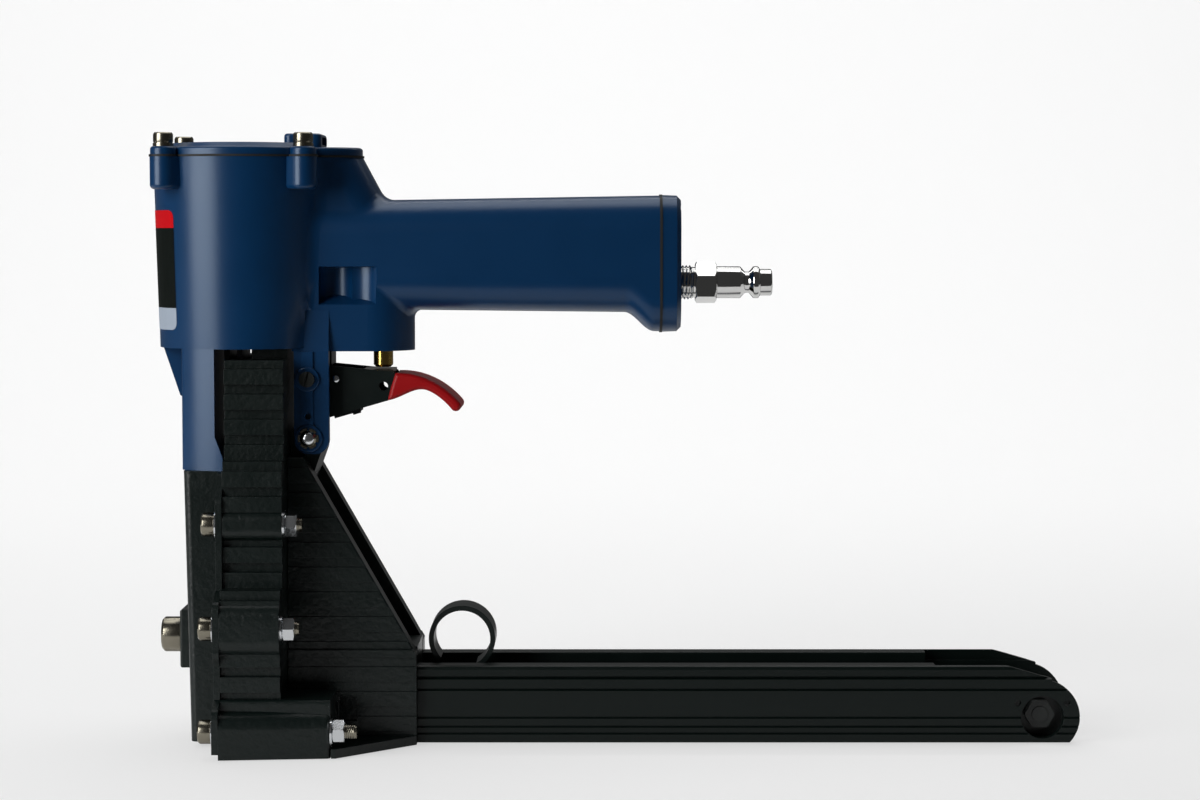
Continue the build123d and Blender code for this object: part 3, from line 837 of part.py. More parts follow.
rail -= slab_y([(slant_x, RAIL_TOP_Z), (slant_end, RAIL_TOP_Z - SLANT_DROP * (slant_end - slant_x)),
                (slant_end, RAIL_TOP_Z + OVER), (slant_x, RAIL_TOP_Z + OVER)], -outside_y, outside_y)
end_waste = box(axle[0] + RAIL_END_R / 4, slant_end, -outside_y, outside_y, -OVER, RAIL_TOP_Z + OVER)
rail -= end_waste - cyl_y(*axle, -outside_y, outside_y, RAIL_END_R)
rail -= cyl_y(*axle, -outside_y, outside_y, SIGHT_R)
for dx in (-END_PIN_DX, END_PIN_DX):
    rail -= cyl_y(axle[0] + dx, axle[1] + END_PIN_DZ, -outside_y, outside_y, END_PIN_R)
rail += box(TONGUE_X0, RAIL_X0 + OVER, -nose_half_w, nose_half_w, 0, RAIL_FLOOR_T)
parts["magazine_rail"] = rail

# Staple core inside the rail, open below
CORE_END, CORE_WALL, CORE_TOP_Z, CORE_TOP_T = 31.1, 3.5, 17.0, 3.0
PUSHER_X0, PUSHER_LEN, PUSHER_T, PUSHER_SIDE_T, PUSHER_Z0 = 4.0, 94.0, 1.6, 0.9, 3.0
slide_half_w = channel_half_w - PLAY
core_half_w = slide_half_w - PUSHER_SIDE_T - PLAY
core_x1 = rail_x1 - CORE_END
core = box(BLADE_HALF_T + SLIDE, core_x1, -core_half_w, core_half_w, RAIL_FLOOR_T, CORE_TOP_Z)
core -= box(0, core_x1 + OVER, CORE_WALL - core_half_w, core_half_w - CORE_WALL, 0, CORE_TOP_Z - CORE_TOP_T)
parts["staple_core"] = core

# Pusher: channel over the core with a bent finger loop
LOOP_X, LOOP_RISE, LOOP_R, LOOP_T, LOOP_HALF_W = 82.9, 18.1, 12.6, 1.9, 8.3
LOOP_OPEN, LOOP_TURN = (222.0, 300.0), 262.0
pusher_x1 = PUSHER_X0 + PUSHER_LEN
slide_z0 = CORE_TOP_Z + SLIDE
slide_z1 = slide_z0 + PUSHER_T
slide = box(PUSHER_X0, pusher_x1, -slide_half_w, slide_half_w, slide_z0, slide_z1)
slide += both(box(PUSHER_X0, pusher_x1, slide_half_w - PUSHER_SIDE_T, slide_half_w, PUSHER_Z0, slide_z1))
parts["pusher_slide"] = slide
loop_z = slide_z1 + LOOP_RISE


# A place round the finger loop, by angle and radius.
def on_loop(angle, r):
    return (LOOP_X + r * math.cos(math.radians(angle)), loop_z + r * math.sin(math.radians(angle)))


loop = cyl_y(LOOP_X, loop_z, -LOOP_HALF_W, LOOP_HALF_W, LOOP_R)
loop -= cyl_y(LOOP_X, loop_z, -LOOP_HALF_W - OVER, LOOP_HALF_W + OVER, LOOP_R - LOOP_T)
far_r = 1.6 * LOOP_R
loop_gap = [on_loop(angle, far_r) for angle in (LOOP_OPEN[0], LOOP_TURN, LOOP_OPEN[1])]
loop -= slab_y([(LOOP_X, loop_z)] + loop_gap, -LOOP_HALF_W - OVER, LOOP_HALF_W + OVER)
leg_out, leg_in = on_loop(LOOP_OPEN[1] - 3.0, LOOP_R), on_loop(LOOP_OPEN[1] + 2.0, LOOP_R - LOOP_T)
FOOT_TURN_X, FOOT_END_X = 9.3, 13.6
heel = (LOOP_X + FOOT_TURN_X, slide_z1)
sole_x, sole_z = LOOP_X + FOOT_END_X, slide_z1 + LOOP_T
loop_foot = slab_y([leg_in, leg_out, heel, (sole_x, slide_z1), (sole_x, sole_z),
                    (heel[0] + LOOP_T / 2, sole_z)], -LOOP_HALF_W, LOOP_HALF_W)
parts["pusher_loop"] = loop + loop_foot

# Band spring: drum on the end bolt, band to the pusher, end block, bolt and nuts
DRUM_R, DRUM_HALF_W, END_BOLT_R, BAND_HALF_W, BAND_T = 8.0, 7.5, 3.0, 7.0, 0.4
END_BLOCK_GAP, END_BLOCK_T, END_BLOCK_H, END_BLOCK_R, CHEEK_GAP = 1.0, 2.0, 15.6, 12.6, 1.1
END_NUT_FLATS, END_NUT_H, END_NUT_CORNER, END_BOLT_OUT = 10.0, 4.2, 5.55, 0.6
drum = cyl_y(*axle, -DRUM_HALF_W, DRUM_HALF_W, DRUM_R)
parts["spring_drum"] = drum - cyl_y(*axle, -DRUM_HALF_W - OVER, DRUM_HALF_W + OVER, END_BOLT_R + RUN)
band_z = axle[1] + DRUM_R + PLAY
parts["spring_band"] = box(pusher_x1, axle[0], -BAND_HALF_W, BAND_HALF_W, band_z, band_z + BAND_T)
block_x = core_x1 + END_BLOCK_GAP
cheek_y0 = DRUM_HALF_W + CHEEK_GAP
cheek_y1 = cheek_y0 + END_BLOCK_T
block_z1 = RAIL_FLOOR_T + END_BLOCK_H
end_block = box(block_x, block_x + END_BLOCK_T, -cheek_y1, cheek_y1, RAIL_FLOOR_T, block_z1)
cheek = box(block_x, rail_x1, cheek_y0, cheek_y1, RAIL_FLOOR_T, block_z1)
cheek_round = cyl_y(*axle, cheek_y0, cheek_y1, END_BLOCK_R)
cheek &= box(block_x, axle[0], cheek_y0, cheek_y1, RAIL_FLOOR_T, block_z1) + cheek_round
end_block = end_block + both(cheek) - cyl_y(*axle, -cheek_y1 - OVER, cheek_y1 + OVER, END_BOLT_R)
parts["end_block"] = end_block
bolt_half = cheek_y1 + END_NUT_H + END_BOLT_OUT
parts["end_bolt"] = cyl_y(*axle, -bolt_half, bolt_half, END_BOLT_R)
hexagon = RegularPolygon(END_NUT_FLATS / 2, 6, major_radius=False)
hexagon = Pos(axle[0], cheek_y1, axle[1]) * Rot(-90, 0, 0) * hexagon
nut_y1 = cheek_y1 + END_NUT_H
end_nut = extrude(hexagon, amount=END_NUT_H, dir=(0, 1, 0)) & cyl_y(*axle, cheek_y1, nut_y1, END_NUT_CORNER)
end_nut -= cyl_y(*axle, cheek_y1 - OVER, nut_y1 + OVER, END_BOLT_R)
parts["end_nuts"] = Compound(children=[end_nut, mirror(end_nut, about=Plane.XZ)])

os.makedirs("parts", exist_ok=True)
for name, shape in parts.items():
    export_step(shape, "parts/" + name + ".step")
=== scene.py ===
"""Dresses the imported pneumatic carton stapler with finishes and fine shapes, in a white studio."""
import json
import math

import bmesh
import bpy
from mathutils import Matrix, Vector
from mathutils.bvhtree import BVHTree


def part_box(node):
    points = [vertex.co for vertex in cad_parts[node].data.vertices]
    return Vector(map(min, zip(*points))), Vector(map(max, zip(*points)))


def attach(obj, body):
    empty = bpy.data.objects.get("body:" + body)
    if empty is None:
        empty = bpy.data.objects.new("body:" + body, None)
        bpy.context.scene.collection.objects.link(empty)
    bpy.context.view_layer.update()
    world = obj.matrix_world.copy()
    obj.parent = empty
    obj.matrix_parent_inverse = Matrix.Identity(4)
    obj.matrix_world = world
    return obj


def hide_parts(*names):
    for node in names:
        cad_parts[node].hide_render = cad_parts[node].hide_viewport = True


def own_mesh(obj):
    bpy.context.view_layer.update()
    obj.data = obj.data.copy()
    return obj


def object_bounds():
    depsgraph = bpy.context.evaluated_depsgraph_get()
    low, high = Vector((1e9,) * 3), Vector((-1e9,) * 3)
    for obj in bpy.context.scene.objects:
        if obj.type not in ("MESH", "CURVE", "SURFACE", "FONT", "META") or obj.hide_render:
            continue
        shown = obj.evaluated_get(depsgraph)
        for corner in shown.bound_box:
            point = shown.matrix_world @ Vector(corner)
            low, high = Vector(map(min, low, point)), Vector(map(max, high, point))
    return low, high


MM = 0.001
AXIS_X = Vector((1.0, 0.0, 0.0))
AXIS_Y = Vector((0.0, 1.0, 0.0))
AXIS_Z = Vector((0.0, 0.0, 1.0))
EVEN = (1.0, 1.0, 1.0)

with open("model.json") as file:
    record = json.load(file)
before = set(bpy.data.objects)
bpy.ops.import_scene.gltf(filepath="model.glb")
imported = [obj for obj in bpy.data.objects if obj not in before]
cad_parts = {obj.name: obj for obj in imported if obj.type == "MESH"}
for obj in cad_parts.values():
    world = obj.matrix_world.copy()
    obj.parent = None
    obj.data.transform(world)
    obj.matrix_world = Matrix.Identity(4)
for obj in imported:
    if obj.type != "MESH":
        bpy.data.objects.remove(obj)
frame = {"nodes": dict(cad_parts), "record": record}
cad_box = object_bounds()
nodes = frame["nodes"]

# Materials
GRAIN_DETAIL = 2.0
MOTTLE_DETAIL = 1.0
MOTTLE_SHADE = 0.07


def shader(name, color, metallic=0.0, roughness=0.5, specular=0.5, tint=EVEN):
    """A principled material with even values."""
    mat = bpy.data.materials.new(name)
    mat.use_nodes = True
    bsdf = mat.node_tree.nodes["Principled BSDF"]
    bsdf.inputs["Base Color"].default_value = (*color, 1.0)
    bsdf.inputs["Metallic"].default_value = metallic
    bsdf.inputs["Roughness"].default_value = roughness
    bsdf.inputs["Specular IOR Level"].default_value = specular
    bsdf.inputs["Specular Tint"].default_value = (*tint, 1.0)
    return mat


def object_noise(tree, scale, detail, stretch=EVEN):
    """A noise texture that is fixed to the object, stretched for drawn metal."""
    coords = tree.nodes.new("ShaderNodeTexCoord")
    mapping = tree.nodes.new("ShaderNodeMapping")
    mapping.inputs["Scale"].default_value = stretch
    noise = tree.nodes.new("ShaderNodeTexNoise")
    noise.inputs["Scale"].default_value = scale
    noise.inputs["Detail"].default_value = detail
    tree.links.new(coords.outputs["Object"], mapping.inputs["Vector"])
    tree.links.new(mapping.outputs["Vector"], noise.inputs["Vector"])
    return noise.outputs["Fac"]


def add_grain(mat, scale, depth, edge, stretch):
    """Fine surface grain of that depth, over edges that are rounded a little to catch the light."""
    tree = mat.node_tree
    bump = tree.nodes.new("ShaderNodeBump")
    bump.inputs["Strength"].default_value = 1.0
    bump.inputs["Distance"].default_value = depth
    tree.links.new(object_noise(tree, scale, GRAIN_DETAIL, stretch), bump.inputs["Height"])
    if edge:
        bevel = tree.nodes.new("ShaderNodeBevel")
        bevel.inputs["Radius"].default_value = edge
        tree.links.new(bevel.outputs["Normal"], bump.inputs["Normal"])
    tree.links.new(bump.outputs["Normal"], tree.nodes["Principled BSDF"].inputs["Normal"])


def add_mottle(mat, low, high, scale):
    """Roughness from low to high, and a colour a little darker or lighter, that wander over the surface."""
    tree = mat.node_tree
    bsdf = tree.nodes["Principled BSDF"]
    wander = object_noise(tree, scale, MOTTLE_DETAIL)
    ramp = tree.nodes.new("ShaderNodeMapRange")
    ramp.inputs["To Min"].default_value = low
    ramp.inputs["To Max"].default_value = high
    tone = tree.nodes.new("ShaderNodeValToRGB")
    color = bsdf.inputs["Base Color"].default_value[:3]
    for element, share in zip(tone.color_ramp.elements, (1.0 - MOTTLE_SHADE, 1.0 + MOTTLE_SHADE)):
        element.color = (*(c * share for c in color), 1.0)
    tree.links.new(wander, ramp.inputs["Value"])
    tree.links.new(wander, tone.inputs["Fac"])
    tree.links.new(ramp.outputs["Result"], bsdf.inputs["Roughness"])
    tree.links.new(tone.outputs["Color"], bsdf.inputs["Base Color"])


def finish(name, color, grain, mottle, edge=0.0, stretch=EVEN, **values):
    """A finished surface: grain is its (scale, depth), mottle its roughness (low, high, scale)."""
    mat = shader(name, color, **values)
    add_grain(mat, *grain, edge, stretch)
    add_mottle(mat, *mottle)
    return mat


NAVY = (0.0012, 0.030, 0.095)
BLACK = (0.0030, 0.0068, 0.0060)
DEEP_BLACK = (0.0010, 0.0042, 0.0034)
NEUTRAL_BLACK = (0.006, 0.006, 0.006)
OXIDE_BLACK = (0.016, 0.019, 0.018)
NICKEL = (0.26, 0.24, 0.19)
ZINC = (0.74, 0.76, 0.78)
CHROME = (0.72, 0.72, 0.71)
BRASS = (0.60, 0.40, 0.11)
DEEP_RED = (0.34, 0.005, 0.007)
STEEL = (0.10, 0.10, 0.105)
BRIGHT_STEEL = (0.30, 0.30, 0.31)
ALUMINIUM = (0.62, 0.63, 0.64)
COOL_SHINE = (0.75, 0.87, 1.0)
DRAWN_ALONG_X = (0.02, 1.0, 1.0)

# One finish for each material slot, with no roughness range across 0.274, where specks would show
materials = {
    "blue_paint": finish(
        "navy_paint", NAVY, (900.0, 0.015 * MM), (0.28, 0.32, 60.0), tint=COOL_SHINE),
    "black_paint": finish(
        "black_casting", BLACK, (450.0, 0.20 * MM), (0.28, 0.40, 90.0), 0.30 * MM, specular=0.34),
    "black_lever": finish(
        "black_sheet", BLACK, (700.0, 0.01 * MM), (0.30, 0.42, 120.0), 0.15 * MM, specular=0.30),
    "black_anodised": finish(
        "black_anodised", DEEP_BLACK, (900.0, 0.02 * MM), (0.33, 0.43, 90.0), 0.25 * MM, DRAWN_ALONG_X,
        specular=0.26),
    "nickel": finish(
        "nickel_plate", NICKEL, (1500.0, 0.01 * MM), (0.21, 0.27, 150.0), metallic=1.0),
    "zinc": finish(
        "zinc_plate", ZINC, (1500.0, 0.004 * MM), (0.13, 0.27, 150.0), metallic=1.0),
    "black_oxide": finish(
        "black_oxide", OXIDE_BLACK, (1200.0, 0.008 * MM), (0.29, 0.43, 150.0), 0.12 * MM, specular=0.4),
    "chrome": finish(
        "chrome_plate", CHROME, (2000.0, 0.001 * MM), (0.05, 0.09, 90.0), metallic=1.0),
    "brass": finish(
        "turned_brass", BRASS, (1500.0, 0.006 * MM), (0.14, 0.26, 150.0), metallic=1.0),
    "red_vinyl": finish(
        "red_vinyl", DEEP_RED, (500.0, 0.02 * MM), (0.33, 0.47, 80.0), specular=0.2),
    "black_rubber": finish(
        "gasket_rubber", NEUTRAL_BLACK, (700.0, 0.02 * MM), (0.6, 0.8, 120.0)),
    "tool_steel": finish(
        "ground_steel", STEEL, (1200.0, 0.01 * MM), (0.36, 0.48, 120.0), metallic=1.0),
    "spring_steel": finish(
        "spring_steel", BRIGHT_STEEL, (1500.0, 0.006 * MM), (0.28, 0.32, 150.0), metallic=1.0),
    "cast_aluminium": finish(
        "machined_aluminium", ALUMINIUM, (900.0, 0.012 * MM), (0.28, 0.42, 120.0), metallic=1.0),
    "black_nylon": finish(
        "black_nylon", NEUTRAL_BLACK, (600.0, 0.012 * MM), (0.43, 0.57, 90.0), specular=0.2),
}

SLOT_OF = {part["node"]: part["material_slot"] for part in frame["record"]["subparts"]}
for name, obj in nodes.items():
    obj.data.materials.clear()
    obj.data.materials.append(materials[SLOT_OF[name]])


# Added pieces: each takes its place from the solids that carry it
def add_object(name, mesh, body="frame"):
    """An object that moves with a body."""
    piece = bpy.data.objects.new(name, mesh)
    bpy.context.collection.objects.link(piece)
    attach(piece, body)
    return piece


def add_piece(name, verts, faces, slot, crease=30.0, body="frame"):
    """A mesh piece with the finish of its material slot, sharp at edges over the crease angle."""
    mesh = bpy.data.meshes.new(name)
    mesh.from_pydata(verts, [], faces)
    mesh.shade_smooth()
    mesh.set_sharp_from_angle(angle=math.radians(crease))
    mesh.materials.append(materials[slot])
    return add_object(name, mesh, body)


def stand_in(name, node, mesh):
    """A changed copy of a node's mesh, shown in place of the node."""
    piece = add_object(name, mesh)
    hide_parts(node)
    return piece


WELD = 0.001 * MM


def solids_of(node):
    """The (lowest, highest) corners of each separate solid of a node."""
    mesh = nodes[node].data
    place = [tuple(round(c / WELD) for c in v.co) for v in mesh.vertices]
    leader = {}

    def root(p):
        while leader.setdefault(p, p) != p:
            leader[p] = leader[leader[p]]
            p = leader[p]
        return p

    for face in mesh.polygons:
        first = root(place[face.vertices[0]])
        for v in face.vertices[1:]:
            leader[root(place[v])] = first
    groups = {}
    for p, v in zip(place, mesh.vertices):
        groups.setdefault(root(p), []).append(v.co)
    return [(Vector(map(min, zip(*g))), Vector(map(max, zip(*g)))) for g in groups.values()]


def ring_mesh(rings, closed=False):
    """Vertices and faces of a skin over rings of points that have the same count."""
    count = len(rings[0])
    verts = [p for ring in rings for p in ring]
    last = len(rings) if closed else len(rings) - 1
    faces = []
    for i in range(last):
        a = i * count
        b = (i + 1) % len(rings) * count
        faces += [(a + k, a + (k + 1) % count, b + (k + 1) % count, b + k) for k in range(count)]
    return verts, faces


def round_angles(count):
    """That many even angles round a circle."""
    return [math.tau * k / count for k in range(count)]


def on_axis(start, axis, along, radius, angle):
    """A point at a distance along an axis, turned about it."""
    side = AXIS_Z if axis.x else AXIS_X
    return start + axis * along + (side * math.cos(angle) + axis.cross(side) * math.sin(angle)) * radius


KNURL_PITCH = 0.85 * MM
KNURL_DEPTH = 0.16 * MM
KNURL_SUNK = 0.25 * MM
KNURL_BEVEL = 0.25 * MM


def knurl(name, start, axis, length, radius):
    """A band of straight knurling round a socket head."""
    angles = round_angles(2 * round(math.tau * radius / KNURL_PITCH))
    levels = (
        (0.0, -KNURL_SUNK),
        (0.0, 0.0),
        (KNURL_BEVEL, KNURL_DEPTH),
        (length - KNURL_BEVEL, KNURL_DEPTH),
        (length, 0.0),
        (length, -KNURL_SUNK),
    )
    rings = []
    for along, rise in levels:
        groove = 0.0 if rise > 0 else rise
        rings.append([on_axis(start, axis, along, radius + (rise if k % 2 else groove), angle)
                      for k, angle in enumerate(angles)])
    return add_piece(name, *ring_mesh(rings, closed=True), "nickel")


THREAD_HEIGHT_SHARE = 0.30
THREAD_AROUND = 40
THREAD_PER_PITCH = 8
THREAD_SUNK = 0.1 * MM


def crest(turns):
    """The height of a pointed thread, from 0 to 1, after that many turns."""
    return 1.0 - abs(2.0 * (turns % 1.0) - 1.0)


def thread(name, start, axis, length, radius, pitch):
    """A helical thread standing on a plain shank."""
    height = THREAD_HEIGHT_SHARE * pitch
    steps = round(length / pitch * THREAD_PER_PITCH)
    rings = []
    for i in range(steps + 1):
        along = length * i / steps
        fade = min(1.0, along / pitch, (length - along) / pitch)
        ring = []
        for k, angle in enumerate(round_angles(THREAD_AROUND)):
            rise = height * fade * crest(along / pitch + k / THREAD_AROUND) - THREAD_SUNK * (1.0 - fade)
            ring.append(on_axis(start, axis, along, radius + rise, angle))
        rings.append(ring)
    return add_piece(name, *ring_mesh(rings), "nickel")


CHAMFER_SLOPE = math.radians(60.0)
NUT_FLATS = 8.0 * MM
NUT_FACE_SHARE = 0.96
NUT_AROUND = 96
NUT_CHAMFER = (0.0, 0.1, 0.2, 0.3, 0.4, 0.5, 0.6)
NUT_TURN = 17.0
NUT_TURN_STEP = 23.0


def hexagon_radius(angle, flats, rise, face_r):
    """The skin of a hexagon whose corners are turned off by a cone that starts at its face."""
    flat = flats / 2 / math.cos((angle % (math.pi / 3)) - math.pi / 6)
    return min(flat, face_r + rise * math.tan(CHAMFER_SLOPE))


def nut(name, low, high, bore_r, turn):
    """A zinc plated nut with both faces turned, in place of the plain one."""
    start = Vector((low.x, (low.y + high.y) / 2, (low.z + high.z) / 2))
    height = high.x - low.x
    face_r = NUT_FLATS / 2 * NUT_FACE_SHARE
    angles = round_angles(NUT_AROUND)
    levels = [c * MM for c in NUT_CHAMFER] + [height - c * MM for c in reversed(NUT_CHAMFER)]
    rings = [[on_axis(start, AXIS_X, 0.0, bore_r, a + turn) for a in angles]]
    for along in levels:
        rise = min(along, height - along)
        rings.append([on_axis(start, AXIS_X, along, hexagon_radius(a, NUT_FLATS, rise, face_r), a + turn)
                      for a in angles])
    rings.append([on_axis(start, AXIS_X, height, bore_r, a + turn) for a in angles])
    return add_piece(name, *ring_mesh(rings, closed=True), "zinc")


DOME_AROUND = 32
DOME_STEPS = 8
DOME_TIP_R = 0.001 * MM


def dome(name, start, axis, radius, height, body):
    """A low round head standing on a flat end."""
    rings = []
    for i in range(DOME_STEPS + 1):
        lean = math.pi / 2 * i / DOME_STEPS
        along = height * math.sin(lean)
        out = radius * math.cos(lean) + DOME_TIP_R
        rings.append([on_axis(start, axis, along, out, angle) for angle in round_angles(DOME_AROUND)])
    return add_piece(name, *ring_mesh(rings), "zinc", body=body)


# Knurls, threads and nuts of the socket screws
HEAD_EDGE = 0.6 * MM
CAP_HEAD_H = 4.0 * MM
BOLT_HEAD_H = 5.0 * MM
CLAMP_HEAD_H = 7.8 * MM
BOLT_R = 2.5 * MM
BOLT_PITCH = 0.8 * MM
BOLT_SHOWN = 6.0 * MM

for i, (low, high) in enumerate(solids_of("cap_screws")):
    middle = (low + high) / 2
    foot = Vector((middle.x, middle.y, high.z - CAP_HEAD_H + HEAD_EDGE / 2))
    knurl(f"cap_screw_knurl_{i}", foot, AXIS_Z, CAP_HEAD_H - HEAD_EDGE * 1.5, (high.x - low.x) / 2)

for i, (low, high) in enumerate(solids_of("housing_bolts")):
    middle = (low + high) / 2
    front = Vector((low.x + HEAD_EDGE, middle.y, middle.z))
    knurl(f"housing_bolt_knurl_{i}", front, AXIS_X, BOLT_HEAD_H - HEAD_EDGE * 1.5, (high.z - low.z) / 2)
    tail = Vector((high.x - BOLT_SHOWN, middle.y, middle.z))
    thread(f"housing_bolt_thread_{i}", tail, AXIS_X, BOLT_SHOWN - BOLT_PITCH / 4, BOLT_R, BOLT_PITCH)

nuts = [nut(f"housing_nut_{i}", low, high, BOLT_R, math.radians(NUT_TURN + NUT_TURN_STEP * i))
        for i, (low, high) in enumerate(solids_of("housing_nuts"))]
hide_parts("housing_nuts")

for low, high in solids_of("clamp_bolt"):
    middle = (low + high) / 2
    front = Vector((low.x + HEAD_EDGE * 1.5, middle.y, middle.z))
    knurl("clamp_bolt_knurl", front, AXIS_X, CLAMP_HEAD_H - HEAD_EDGE * 2, (high.z - low.z) / 2)

# Round heads on the ends of the trigger rivet and on the push nuts of the hanger pin
DOMES = (  # node, body, radius, height
    ("trigger_rivet", "trigger", 1.4 * MM, 0.5 * MM),
    ("push_nuts", "frame", 2.3 * MM, 0.8 * MM),
)
for node, body, radius, height in DOMES:
    low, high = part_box(node)
    middle = (low + high) / 2
    for side, y, axis in (("near", low.y, -AXIS_Y), ("far", high.y, AXIS_Y)):
        dome(f"{node}_{side}_head", Vector((middle.x, y, middle.z)), axis, radius, height, body)

# Pivot screw of the trigger, turned until its slot leans towards the handle
SCREW_TURN = math.radians(40.0)


def turned_screw():
    """A copy of the screw, turned about its own axis."""
    low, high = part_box("trigger_pivot_screw")
    middle = (low + high) / 2
    turn = Matrix.Rotation(SCREW_TURN, 4, "Y")
    mesh = nodes["trigger_pivot_screw"].data.copy()
    mesh.transform(Matrix.Translation(middle) @ turn @ Matrix.Translation(-middle))
    stand_in("trigger_pivot_screw_turned", "trigger_pivot_screw", mesh)


turned_screw()

# Wound springs in place of the plain sleeves, and a copy of the band of the pusher
COIL_AROUND = 10
COIL_PER_TURN = 24
COIL_TIP_SHARE = 0.005
COIL_CREASE = 60.0
COILS = (  # node, joint, travel, height of the end that stays, wire, turns
    ("return_spring", "piston_stroke", 21.0 * MM, 152.0 * MM, 2.6 * MM, 6),
    ("head_valve_spring", "head_valve_lift", 3.0 * MM, 221.4 * MM, 1.6 * MM, 4),
    ("valve_spring", "trigger_pull", 3.9 * MM, 184.0 * MM, 1.1 * MM, 9),
)


def coil(low, high, wire, turns):
    """Rings of points along a wire wound from low to high, with a closed turn at each end."""
    middle = (low + high) / 2
    mean_r = (high.x - low.x - wire) / 2
    pitch = (high.z - low.z - 3 * wire) / (turns - 2)
    last = COIL_PER_TURN * turns
    rings = []
    for i in range(-1, last + 2):
        turn = min(max(i / COIL_PER_TURN, 0.0), turns)
        open_turns = min(max(turn - 1.0, 0.0), turns - 2.0)
        rise = wire / 2 + open_turns * pitch + (turn - open_turns) * wire
        out = Vector((math.cos(turn * math.tau), math.sin(turn * math.tau), 0.0))
        place = Vector((middle.x, middle.y, low.z + rise)) + out * mean_r
        thick = wire / 2 if 0 <= i <= last else wire * COIL_TIP_SHARE
        rings.append([place + (out * math.cos(angle) + AXIS_Z * math.sin(angle)) * thick
                      for angle in round_angles(COIL_AROUND)])
    return rings


def drawn_band():
    """A copy of the steel band between the drum and the pusher, in place of the plain one; the copy doesn't
    wind up as the pusher is drawn back.
    """
    band = stand_in("spring_band_drawn", "spring_band", nodes["spring_band"].data.copy())
    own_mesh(band)


for node, joint, travel, fixed_z, wire, turns in COILS:
    low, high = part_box(node)
    rings = coil(low, high, wire, turns)
    spring = add_piece(f"{node}_wound", *ring_mesh(rings), "spring_steel", COIL_CREASE)
    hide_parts(node)
    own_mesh(spring)
drawn_band()

# Air plug with a cut thread and a chamfered hexagon, in millimetres along its axis from the end cap
PLUG_AROUND = 120
PLUG_CREASE = 35.0
PLUG_SUNK = 1.0
PLUG_ROOT_R = 5.7
PLUG_CREST_R = 6.58
PLUG_PITCH = 1.34
PLUG_THREAD_LEN = 5.0
HEX_X0 = 5.6
HEX_X1 = 13.6
HEX_FLATS = 14.0
HEX_FACE_R = 6.9
HEX_TURN = math.radians(18.5)
HEX_CHAMFER = (0.0, 0.15, 0.3, 0.45, 0.6, 0.75)
PLUG_LINE = (  # distance and radius of the body, the groove, the nose and its bore
    (13.6, 5.75), (13.9, 6.0), (22.5, 6.0), (22.8, 5.85),
    (24.3, 4.15), (24.7, 4.0), (25.7, 4.0), (26.1, 4.15),
    (27.5, 5.85), (27.8, 6.0), (29.3, 6.0), (29.6, 5.85), (30.2, 5.0),
    (34.0, 5.0), (34.3, 4.9), (34.55, 4.6), (34.7, 4.2), (34.7, 3.0), (27.0, 3.0),
)


def plug_thread(along, angle):
    """The skin of the thread, which runs out before the hexagon."""
    fade = max(0.0, min(1.0, (PLUG_THREAD_LEN - along) / PLUG_PITCH))
    return PLUG_ROOT_R + (PLUG_CREST_R - PLUG_ROOT_R) * fade * crest(along / PLUG_PITCH + angle / math.tau)


def plug_hexagon(along, angle):
    """The skin of the hexagon, chamfered at both faces."""
    rise = min(along - HEX_X0, HEX_X1 - along)
    return hexagon_radius(angle, HEX_FLATS, rise, HEX_FACE_R)


def plain_round(radius):
    """A skin of one radius all round."""
    return lambda along, angle: radius


def air_plug():
    """One turned skin from the thread to the bore of the nose."""
    plug_low, plug_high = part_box("air_plug")
    foot = Vector((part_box("handle_end_cap")[1].x, 0.0, (plug_low.z + plug_high.z) / 2))
    steps = round((PLUG_THREAD_LEN + PLUG_SUNK) / PLUG_PITCH * THREAD_PER_PITCH)
    stations = [(PLUG_THREAD_LEN * i / steps - PLUG_SUNK * (1 - i / steps), plug_thread)
                for i in range(steps + 1)]
    stations.append((HEX_X0, plain_round(PLUG_ROOT_R)))
    stations += [(HEX_X0 + c, plug_hexagon) for c in HEX_CHAMFER]
    stations += [(HEX_X1 - c, plug_hexagon) for c in reversed(HEX_CHAMFER)]
    stations += [(x, plain_round(r)) for x, r in PLUG_LINE]
    rings = [[on_axis(foot, AXIS_X, x * MM, radius(x, a) * MM, a + math.pi / 2 - HEX_TURN)
              for a in round_angles(PLUG_AROUND)] for x, radius in stations]
    plug = add_piece("air_plug_turned", *ring_mesh(rings), "chrome", PLUG_CREASE)
    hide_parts("air_plug")


air_plug()

# Body casting with the upper end of each bracket drawn in until it is flush with the valve lug
LUG_HALF_W = 16.6 * MM
BRACKET_X0 = 20.9 * MM
BRACKET_X1 = 34.1 * MM
BRACKET_REACH = 20.0 * MM
TINY = 0.02 * MM


def flush_brackets():
    """A copy of the casting, cut level with the lug's underside and drawn in above it."""
    lug_low, lug_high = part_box("valve_bush")
    mesh = nodes["body_casting"].data.copy()
    work = bmesh.new()
    work.from_mesh(mesh)

    def on_upper_end(v):
        at_height = lug_high.z + TINY > v.co.z > lug_low.z - BRACKET_REACH
        return abs(v.co.y) > LUG_HALF_W + TINY and at_height and BRACKET_X0 < v.co.x < BRACKET_X1

    plate = [f for f in work.faces if any(on_upper_end(v) for v in f.verts)]
    cut = plate + list({e for f in plate for e in f.edges}) + list({v for f in plate for v in f.verts})
    bmesh.ops.bisect_plane(work, geom=cut, plane_co=(0.0, 0.0, lug_low.z), plane_no=(0.0, 0.0, 1.0))
    for v in work.verts:
        if on_upper_end(v) and v.co.z > lug_low.z + TINY:
            share = (v.co.z - lug_low.z) / (lug_high.z - lug_low.z)
            proud = abs(v.co.y) - LUG_HALF_W
            v.co.y = math.copysign(LUG_HALF_W + proud * max(0.0, 1.0 - share) - TINY * share, v.co.y)
    work.to_mesh(mesh)
    work.free()
    stand_in("body_casting_dressed", "body_casting", mesh)


flush_brackets()

